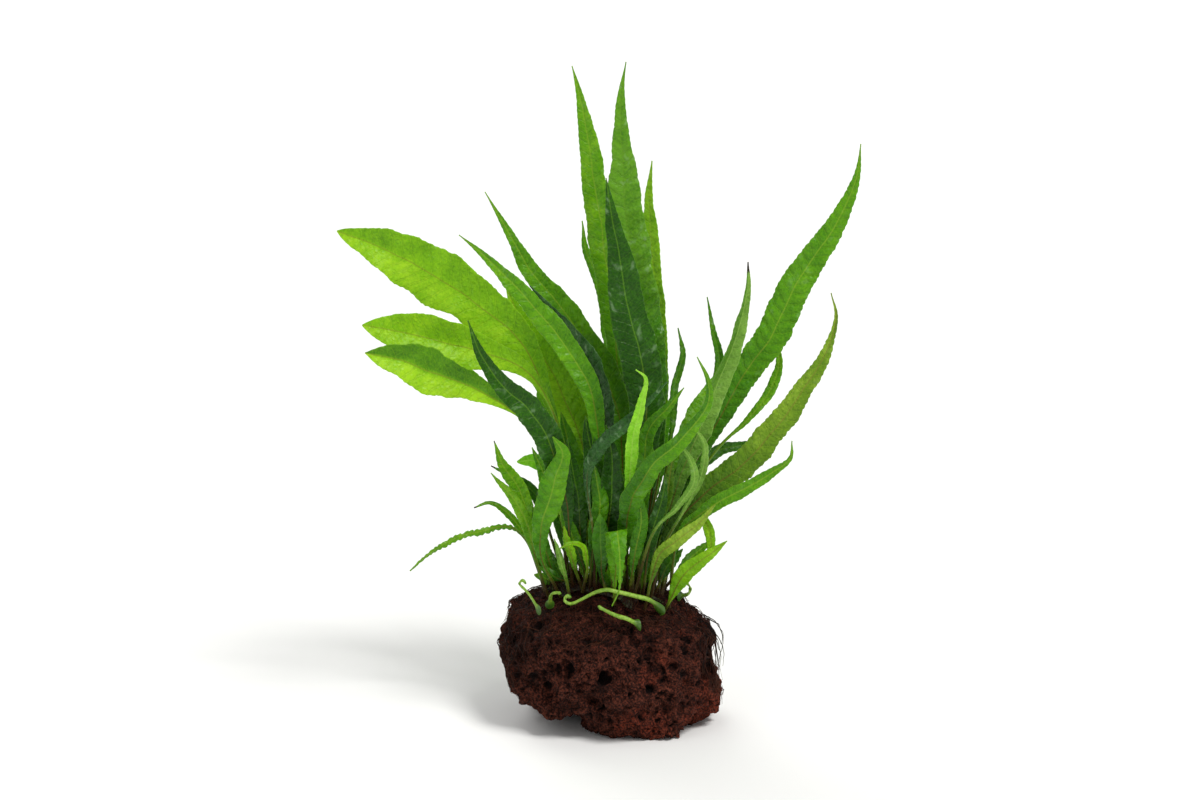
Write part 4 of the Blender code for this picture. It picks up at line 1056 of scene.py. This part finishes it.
FRONT_FRONDS = (
    # This one arches to the front and hangs, so its upper side turns over
    Frond("frond_front_hanging", (1, -18),
          ((1.8, 73.4, -22), (2, 83, -27), (2.4, 86, -33), (3, 80, -36.5), (3.6, 70, -38),
           (3.2, 60, -39), (0, 52.6, -40)),
          10, 0.08, 0.4, 2, 5, (-0.06, -1, 0.35), "green", (0.7, 0.6, 0.45, 0.5),
          ripple=1.6, quilt=0.6, scallop=0.25,
          twist=12, face_low=(-0.06, 1, 0.35)),
    Frond("frond_front_left", (-24, -13),
          ((-31.5, 73.4, -20), (-32, 86, -24), (-28.8, 98.1, -27), (-25.2, 109.4, -30),
           (-22, 120.6, -33), (-26.6, 128.7, -36)),
          12.5, 0.2, 0.55, 0.85, 12, (-0.2, -1, 0.2), "green", (0.25, 0.3, 0.55, 0.65),
          ripple=1.3, quilt=1.1),
    Frond("frond_dark_crossing", (-8, -12),
          ((-8.1, 82.4, -18), (-11.2, 107.1, -23), (-8.1, 119.7, -25), (2.7, 131.4, -28),
           (14.9, 143.1, -30), (24.8, 153.5, -32)),
          6.5, 0.35, 0.5, 1.0, 16, (0, -1, 0.8), "blue", (0.3, 0.4, 0.5, 0.6),
          ripple=0.8, quilt=1.2),
    Frond("frond_lime_front", (7, -8),
          ((6.3, 87, -17), (8.1, 114, -29), (10.4, 129.6, -36), (13, 143, -40), (15.3, 154.4, -43),
           (10.8, 158.9, -46)),
          6.3, 0.35, 0.5, 1.1, 14, (-0.2, -1, 0), "lime", (0.1, 0.2, 0.85, 0.9),
          ripple=1.0),
    Frond("frond_rippled", (12, -9),
          ((12.2, 91.4, -17), (14, 116, -22), (17.1, 132, -26), (25.2, 142.2, -30),
           (32.4, 150.8, -33)),
          9, 0.22, 0.5, 0.95, 12, (-0.1, -1, 0.1), "green", (0.2, 0.25, 0.45, 0.55),
          ripple=1.7, quilt=0.9),
    Frond("frond_front_folded", (4, -12),
          ((5.5, 80, -18), (9.9, 101.7, -32), (19.4, 116.1, -42), (30.6, 127.4, -46),
           (42.3, 141.8, -49), (43.2, 153.5, -51), (38.3, 164.7, -53)),
          11, 0.14, 0.32, 0.9, 20, (0.2, -1, 0.3), "green", (0.1, 0.25, 0.4, 0.65),
          ripple=1.3, quilt=0.8),
    Frond("frond_pale_left", (10, -16),
          ((18, 84.6, -26), (29.7, 97.7, -31), (36.9, 108.5, -34), (35.1, 118.4, -36),
           (29.3, 126.5, -38)),
          4, 0.4, 0.6, 1.0, 6, (0.3, -1, 0), "pale", (0.2, 0.2, 0.5, 0.6),
          ripple=0.4),
    Frond("frond_pale_right", (18, -13),
          ((22.5, 77.9, -17), (32.4, 95.9, -22), (40, 111.6, -25), (41.9, 124.2, -27),
           (36.5, 133.7, -29)),
          4, 0.4, 0.6, 1.0, 6, (0.3, -1, 0), "pale", (0.2, 0.2, 0.5, 0.6),
          ripple=0.4),
)
grow_fronds(FRONT_FRONDS, 50)


# Small fronds low at the left: short pointed blades and two thin ones that arch
# over, with notched edges.

LOW_LEFT_FRONDS = (
    Frond("frond_left_low", (-26, 3),
          ((-35.1, 87.8, 2), (-41.4, 104, 1), (-49, 115.7, 0), (-53.1, 126.9, 0)),
          8, 0.25, 0.5, 1.0, 8, (0.2, -1, 0), "green", (0.4, 0.4, 0.7, 0.75),
          ripple=0.4, burn=0.985),
    Frond("frond_left_low_dark", (-22, 9),
          ((-27, 82.4, 11), (-34.7, 102.2, 12), (-45.9, 111.2, 13), (-54.5, 115.7, 14)),
          5, 0.35, 0.5, 1.0, 6, (0, -1, 0.3), "deep", (0.5, 0.5, 0.6, 0.6),
          ripple=0.3, burn=0.97),
    Frond("frond_left_low_front", (-29, -8),
          ((-34.2, 73.4, -12), (-38.7, 89.1, -16), (-45.5, 101.7, -19), (-54.5, 112.5, -22)),
          6, 0.25, 0.5, 1.0, 8, (0, -1, 0.1), "green", (0.3, 0.4, 0.8, 0.8),
          ripple=0.5),
    Frond("frond_left_arch", (-31, -2),
          ((-35.5, 78.8, -4), (-44.1, 91.4, -7), (-54, 98.6, -9), (-62.1, 96.8, -11)),
          4, 0.4, 0.5, 1.0, 6, UP, "green", (0.3, 0.3, 0.6, 0.6),
          ripple=0.3, burn=0.98),
    Frond("frond_left_long_arch", (-31, 5),
          ((-33.5, 69.8, 8), (-38.7, 82.4, 12), (-47.2, 88.2, 17), (-61.7, 85.5, 23),
           (-74.7, 80.6, 28), (-84.6, 73.8, 32), (-90.9, 68.4, 34)),
          3.6, 0.3, 0.5, 0.8, 6, UP, "green", (0.3, 0.4, 0.75, 0.8),
          ripple=0.6, scallop=0.35),
    Frond("frond_left_pale", (-17, 10),
          ((-18, 91.4, 22), (-24, 111, 29), (-34.7, 117.5, 33), (-42.8, 117.5, 35)),
          10, 0.35, 0.6, 0.7, 5, (0, -1, 0.4), "lime", (0.3, 0.3, 0.7, 0.6),
          ripple=0.5),
)
grow_fronds(LOW_LEFT_FRONDS, 70)


# Short inner fronds that fill the middle, and the fronds at the back that the
# others hide.

INNER_FRONDS = (
    Frond("frond_inner_left", (-12, -7),
          ((-13, 71, -9), (-18, 84, -11), (-23, 96, -12)),
          7, 0.2, 0.55, 0.9, 10, (0.2, -1, 0), "green", (0.1, 0.1, 0.5, 0.5),
          ripple=0.3),
    Frond("frond_inner_dark", (-2, -6),
          ((-2.7, 78, -12), (-0.5, 100, -16), (0, 118, -18), (-2.7, 134, -20)),
          12, 0.15, 0.5, 0.9, 10, (0.1, -1, 0), "deep", (0.1, 0.1, 0.3, 0.3),
          ripple=0.4, quilt=0.5),
    Frond("frond_inner_rounded", (-3, -15),
          ((-5, 70, -18), (-5.4, 82, -20), (-5.4, 94, -22)),
          8, 0.15, 0.6, 0.7, 8, (-0.1, -1, 0), "deep", (0.3, 0.3, 0.7, 0.7),
          ripple=0.3),
    Frond("frond_inner_right", (12, -3.5),
          ((12.2, 77.9, -10), (13, 93.6, -13), (12.6, 106, -15)),
          7, 0.15, 0.55, 0.8, 8, (0.1, -1, 0), "deep", (0.2, 0.2, 0.5, 0.5),
          ripple=0.3),
    Frond("frond_inner_right_dark", (14, 1),
          ((21.6, 82, 1), (27, 100.4, 0), (33, 116, -2), (38, 130, -4)),
          10, 0.15, 0.55, 0.9, 10, (0.2, -1, 0), "deep", (0.0, 0.0, 0.2, 0.2),
          ripple=0.3),
    Frond("frond_inner_small", (17, -8),
          ((19.4, 80, -14), (23.4, 100.4, -18), (26, 113.9, -20), (28.4, 123.8, -21)),
          5, 0.3, 0.55, 1.0, 8, (0.2, -1, 0), "olive", (0.2, 0.2, 0.4, 0.4),
          ripple=0.3),
    Frond("frond_small_arch", (-13, -14),
          ((-11, 70, -18), (-13, 78.5, -21), (-18.5, 80.6, -24), (-23.4, 78.5, -26)),
          3.5, 0.35, 0.5, 1.0, 5, UP, "fresh", (0.3, 0.3, 0.6, 0.6),
          ripple=0.2),
    Frond("frond_small_grey", (-19, -15),
          ((-21.6, 68.9, -19), (-24.3, 77, -22), (-26, 82.8, -24)),
          3.2, 0.3, 0.5, 1.0, 5, (0, -1, 0.3), "pale", (0.3, 0.3, 0.5, 0.5),
          ripple=0.2),
    # Fronds at the back, which the front ones hide
    Frond("frond_back_left", (-21, 15),
          ((-22, 92, 26), (-24, 122, 38), (-28, 146, 50), (-34, 166, 62)),
          15, 0.2, 0.55, 0.9, 8, (-0.1, -1, 0.3), "green", (0.2, 0.2, 0.6, 0.6),
          ripple=0.6, quilt=0.4),
    Frond("frond_back_middle", (2, 19),
          ((6, 100, 32), (10, 140, 46), (11, 175, 60), (9, 205, 72)),
          15, 0.2, 0.55, 1.0, 8, (0.1, -1, 0.3), "deep", (0.3, 0.3, 0.7, 0.7),
          ripple=0.7, quilt=0.6),
    Frond("frond_back_right", (14, 19),
          ((24, 95, 32), (33, 122, 45), (41, 143, 57), (49, 160, 67)),
          14, 0.2, 0.55, 1.0, 8, (0.1, -1, 0.3), "green", (0.2, 0.3, 0.7, 0.6),
          ripple=0.6, quilt=0.4),
    Frond("frond_back_low", (-8, 16.5),
          ((-10, 74, 20), (-12, 83, 31), (-14, 93, 43), (-16, 100, 54)),
          10, 0.2, 0.55, 0.9, 8, (0, -1, 0.4), "fresh", (0.2, 0.3, 0.6, 0.7),
          ripple=0.4, quilt=0.3),
)
grow_fronds(INNER_FRONDS, 80)


# Small fronds between the others: too many for solids of their own, they fill the dark
# middle of the plant between the taller stalks.

GOLDEN_TURN = radians(137.5)
# Painted shade: the small fronds in the middle of the plant are kept dark, as that part lies in shade
PAINTED_SHADE_LEVELS = (0.2, 0.3, 0.35, 0.45)
SMALL_FRONDS = (
    Frond("frond_small_1", (-15, -3), ((-14, 80, -6), (-16, 105, -8), (-20, 128, -9)),
          9, 0.2, 0.5, 0.9, 8, FRONT, "deep", PAINTED_SHADE_LEVELS),
    Frond("frond_small_2", (-10, -11), ((-9, 78, -15), (-6, 98, -18), (-8, 116, -20)),
          8, 0.2, 0.55, 0.8, 8, (0.2, -1, 0), "green", PAINTED_SHADE_LEVELS),
    Frond("frond_small_3", (-5, -1), ((-6, 85, -4), (-8, 112, -6), (-12, 138, -8)),
          11, 0.2, 0.5, 0.9, 8, FRONT, "deep", PAINTED_SHADE_LEVELS),
    Frond("frond_small_4", (2, -3), ((3, 85, -7), (1, 110, -10), (-3, 132, -12)),
          9, 0.2, 0.5, 0.9, 8, (-0.2, -1, 0), "deep", PAINTED_SHADE_LEVELS),
    Frond("frond_small_5", (8, -14), ((10, 76, -20), (13, 92, -24), (12, 106, -26)),
          7, 0.2, 0.5, 0.8, 8, (0.2, -1, 0), "green", PAINTED_SHADE_LEVELS),
    Frond("frond_small_6", (14, -12), ((17, 80, -18), (22, 98, -22), (24, 112, -24)),
          7, 0.2, 0.5, 0.9, 8, FRONT, "deep", PAINTED_SHADE_LEVELS),
    Frond("frond_small_7", (19, 0), ((24, 84, 0), (31, 104, -1), (37, 121, -3)),
          9, 0.2, 0.5, 0.9, 8, (-0.3, -1, 0), "deep", PAINTED_SHADE_LEVELS),
    Frond("frond_small_8", (22, -3), ((28, 80, -6), (37, 97, -10), (46, 110, -13)),
          7, 0.2, 0.5, 0.9, 8, (-0.2, -1, 0.2), "green", PAINTED_SHADE_LEVELS),
    Frond("frond_small_9", (-19, 4), ((-22, 84, 5), (-28, 106, 6), (-36, 124, 7)),
          9, 0.2, 0.5, 0.9, 8, (0.2, -1, 0), "green", PAINTED_SHADE_LEVELS),
    Frond("frond_small_10", (-14, 7), ((-15, 88, 10), (-17, 116, 13), (-23, 140, 16)),
          12, 0.2, 0.5, 0.9, 8, FRONT, "green", PAINTED_SHADE_LEVELS),
    Frond("frond_small_11", (0, 13), ((0, 90, 20), (-2, 118, 26), (-7, 142, 30)),
          12, 0.2, 0.5, 0.9, 8, FRONT, "deep", PAINTED_SHADE_LEVELS),
    Frond("frond_small_12", (9, 15), ((14, 95, 28), (20, 122, 36), (26, 146, 42)),
          13, 0.2, 0.5, 0.9, 8, FRONT, "green", PAINTED_SHADE_LEVELS),
    Frond("frond_small_13", (20, 10), ((27, 90, 15), (36, 112, 19), (44, 130, 22)),
          9, 0.2, 0.5, 0.9, 8, (-0.2, -1, 0), "green", PAINTED_SHADE_LEVELS),
    Frond("frond_small_14", (-25, -5), ((-29, 74, -9), (-33, 88, -12), (-36, 98, -14)),
          6, 0.2, 0.5, 0.9, 8, (0.2, -1, 0.1), "green", PAINTED_SHADE_LEVELS),
)
grow_fronds(SMALL_FRONDS, 120)

# The youngest fronds: thin stalks with short blades, too many for solids of their own.
# They crowd round the feet of the others, from the middle of the rhizome outwards.
CROWD = 46
CROWD_SPREAD = (27, 15)
CROWD_SKINS = ("green", "deep", "olive", "deep", "green", "fresh")
for number in range(CROWD):
    turn = number * GOLDEN_TURN
    ring = ((number + 0.5) / CROWD) ** 0.5
    out = Vector((cos(turn) * CROWD_SPREAD[0], sin(turn) * CROWD_SPREAD[1])) * ring
    tall = 20 + 8 * (number * 7 % 5) - 8 * ring
    lean = 0.15 + 0.15 * (number * 3 % 4)
    if number % 3 == 0:
        tall, lean = tall * 0.5, lean + 0.35
    midrib = [(out.x * (1 + lean * way * ring), 60 + tall * way ** (0.7 + 0.2 * (number % 3)),
               out.y * (1 + lean * way * ring)) for way in (0.35, 0.7, 1.0)]
    skin = CROWD_SKINS[number % len(CROWD_SKINS)]
    grow_frond(Frond("frond_young_%d" % (number + 1), tuple(out), tuple(midrib),
                     3.5 + number * 5 % 4, 0.3, 0.5, 0.9, 10, (0.3 * cos(turn), -1, 0.2),
                     skin, (0.1, 0.15, 0.6, 0.7), ripple=0.6, scallop=0.2), 160 + number)


# Young fronds: round, pale green stems from a swollen dark bud, with a curled tip.
# They lie over the stone's front edge and end in a small crook.

YOUNG_STATION = 0.7


def stem_shaper():
    """A round stem that swells to a bud at its foot and thins towards its tip."""
    graph = Shaper("young frond")
    line = graph.input("Line", "Geometry")
    stations = graph.input("Stations", "Int")
    radius, seed = graph.input("Radius", "Float"), graph.input("Seed", "Float")
    rail = graph.node("GeometryNodeMeshToCurve", {}, {"Mesh": line})
    rail = graph.node("GeometryNodeResampleCurve", {}, {"Curve": rail, "Count": stations})
    share = graph.node("GeometryNodeSplineParameter", {}, {})
    bud = graph.ease(share, 0.14, 0.0)
    wobble = graph.noise(graph.join(share * 14, seed, 0.0), 1, 2.0) - 0.5
    tip = graph.ease(share, 1.0, 0.98) * 0.6 + 0.4
    round_size = radius * (1 + bud * 1.2) * (1 - share * 0.4) * (1 + wobble * 0.35)
    round_size = round_size * (1 + graph.ease(share, 0.88, 0.96) * 0.35)
    rail = graph.node("GeometryNodeCaptureAttribute", {"captures": (("FLOAT", "share"),)},
                      {"Geometry": rail, "share": share})
    kept_share = rail.out("share")
    ring = graph.node("GeometryNodeCurvePrimitiveCircle", {}, {"Resolution": 14, "Radius": 1.0})
    rail = graph.node("GeometryNodeSetCurveNormal", {"mode": "FREE"}, {"Curve": rail})
    shape = graph.node("GeometryNodeCurveToMesh", {},
                       {"Curve": rail, "Profile Curve": ring, "Fill Caps": True,
                        "Scale": round_size * tip * MILLIMETRE})
    shape = graph.store(shape, "share", kept_share)
    return graph.finish(shape)


def stem_finish():
    """Pale yellow-green, fresh stem with a dark green bud and fine brown flecks."""
    material, graph, shader = finish_of("young_stem", Subsurface_Weight=0.2,
                                        Subsurface_Scale=1.0 * MILLIMETRE,
                                        Subsurface_Radius=(0.5, 1.0, 0.15))
    spot = object_millimetres(graph)
    share = read(graph, "share")
    fleck = graph.noise(spot, 1.2, 4.0)
    tint = graph.mix(graph.ease(fleck, 0.35, 0.7), colour("6e9a24"), colour("9abc44"))
    tint = graph.mix(graph.ease(share, 0.22, 0.06), tint, colour("3c6414"))
    tint = graph.mix(graph.ease(share, 0.93, 1.0) * 0.6, tint, colour("4c7a20"))
    tint = graph.mix(graph.ease(fleck, 0.66, 0.74) * 0.5, tint, colour("4a3a14"))
    bump = graph.node("ShaderNodeBump", {}, {"Strength": 0.4, "Distance": 0.2 * MILLIMETRE,
                                             "Height": graph.noise(spot, 0.6, 3.0)})
    rough = graph.mix(fleck, 0.35, 0.6)
    feed(graph, shader, Base_Color=tint, Roughness=rough, Normal=bump)
    return material


YoungFrond = namedtuple("YoungFrond", "node foot radius midrib")
YOUNG_FRONDS = (
    YoungFrond("young_frond_left", (-33, -23), 1.1,
               ((-36.5, 56.7, -25), (-39.2, 60, -26), (-41.6, 62.4, -26),
                (-40.4, 64.2, -26.5), (-38.6, 62.8, -27))),
    YoungFrond("young_frond_short", (-28, -19), 1.0,
               ((-27.3, 57.6, -22), (-25, 58.6, -24), (-23, 58.2, -26))),
    YoungFrond("young_frond_long", (22, -20), 1.2,
               ((17.5, 55, -25), (10.8, 57, -27), (2.3, 59, -29),
                (-2.7, 59.9, -29), (-8.1, 58.5, -28), (-14, 55.4, -27), (-18.5, 53.6, -26),
                (-21.2, 55, -25.5), (-20.4, 57, -25), (-18.3, 56.6, -25))),
    YoungFrond("young_frond_front", (12, -34), 1.2,
               ((6.8, 46.8, -36), (2.7, 48, -35), (-1.4, 49.8, -34), (-6.3, 52.4, -33))),
    YoungFrond("young_frond_right", (31, 6), 1.1,
               ((34.2, 58, 4), (35.2, 60.5, 3), (34, 62.6, 3), (31.6, 63, 4))),
)
STEM = stem_shaper()
STEM_FINISH = stem_finish()
for number, young in enumerate(YOUNG_FRONDS):
    x, y = young.foot
    knob = young.radius * 2.4
    foot = Vector((x, y, foot_height(x, y, knob) + knob * 0.2))
    path = smooth_path([foot] + [seen(*point) for point in young.midrib])
    piece, length = line_piece(young.node.replace("frond", "stem"), path)
    grow(piece, STEM, stations=int(length / YOUNG_STATION), radius=young.radius,
         seed=float(number), material=STEM_FINISH)
    seat(piece, SLOTS[young.node], young.node)


# The studio: a plain pale floor, soft light from above and both sides, and the camera
# a little above the plant's front.

LENS = 100
FLOOR_SIZE = 24


def soft_light(name, place, target, softness, power, tint):
    """A light from the direction of a place, as if from a sheet this many degrees wide."""
    lamp = bpy.data.lights.new(name, "SUN")
    lamp.angle = radians(softness)
    lamp.energy = power
    lamp.color = tint
    holder = bpy.data.objects.new(name, lamp)
    holder.location = place
    holder.rotation_euler = (Vector(target) - Vector(place)).to_track_quat("-Z", "Y").to_euler()
    bpy.context.scene.collection.objects.link(holder)


def floor_finish():
    """Matt pale studio floor, very slightly uneven."""
    material, graph, shader = finish_of("studio_floor")
    spot = graph.node("ShaderNodeTexCoord", {}, {}).out("Object")
    cloud = graph.noise(spot, 0.4, 2.0)
    feed(graph, shader, Base_Color=graph.mix(cloud, colour("f4f4f2"), colour("f8f8f7")),
         Roughness=graph.mix(cloud, 0.85, 0.95))
    return material


shape = bmesh.new()
bmesh.ops.create_grid(shape, x_segments=1, y_segments=1, size=FLOOR_SIZE / 2)
mesh = bpy.data.meshes.new("studio_floor")
shape.to_mesh(mesh)
shape.free()
floor = new_piece("studio_floor", mesh)
mesh.materials.append(floor_finish())

AIM = (0, 0, 0.15)
soft_light("key", (0.75, -0.8, 1.7), AIM, 20, 2.2, (1, 0.99, 0.97))
soft_light("fill", (-1.2, -1.2, 0.8), AIM, 60, 0.35, (0.97, 0.99, 1))
soft_light("back", (-0.5, 1.2, 1.3), AIM, 40, 0.9, (1, 1, 0.98))
world = bpy.data.worlds.new("studio")
world.use_nodes = True
world.node_tree.nodes["Background"].inputs["Color"].default_value = (1, 1, 1, 1)
world.node_tree.nodes["Background"].inputs["Strength"].default_value = 0.42
bpy.context.scene.world = world
bpy.context.scene.view_settings.view_transform = "Standard"

lens = bpy.data.cameras.new("camera")
lens.lens = LENS
lens.sensor_width = 36
lens.clip_start = 0.05
lens.clip_end = 50
camera = bpy.data.objects.new("camera", lens)
middle_height = MIDDLE_UP / cos(VIEW_HEIGHT)
camera.location = Vector((MIDDLE_ACROSS, -EYE_DISTANCE * cos(VIEW_HEIGHT),
                          middle_height + EYE_DISTANCE * sin(VIEW_HEIGHT))) * MILLIMETRE
camera.rotation_euler = (pi / 2 - VIEW_HEIGHT, 0, 0)
bpy.context.scene.collection.objects.link(camera)
bpy.context.scene.camera = camera
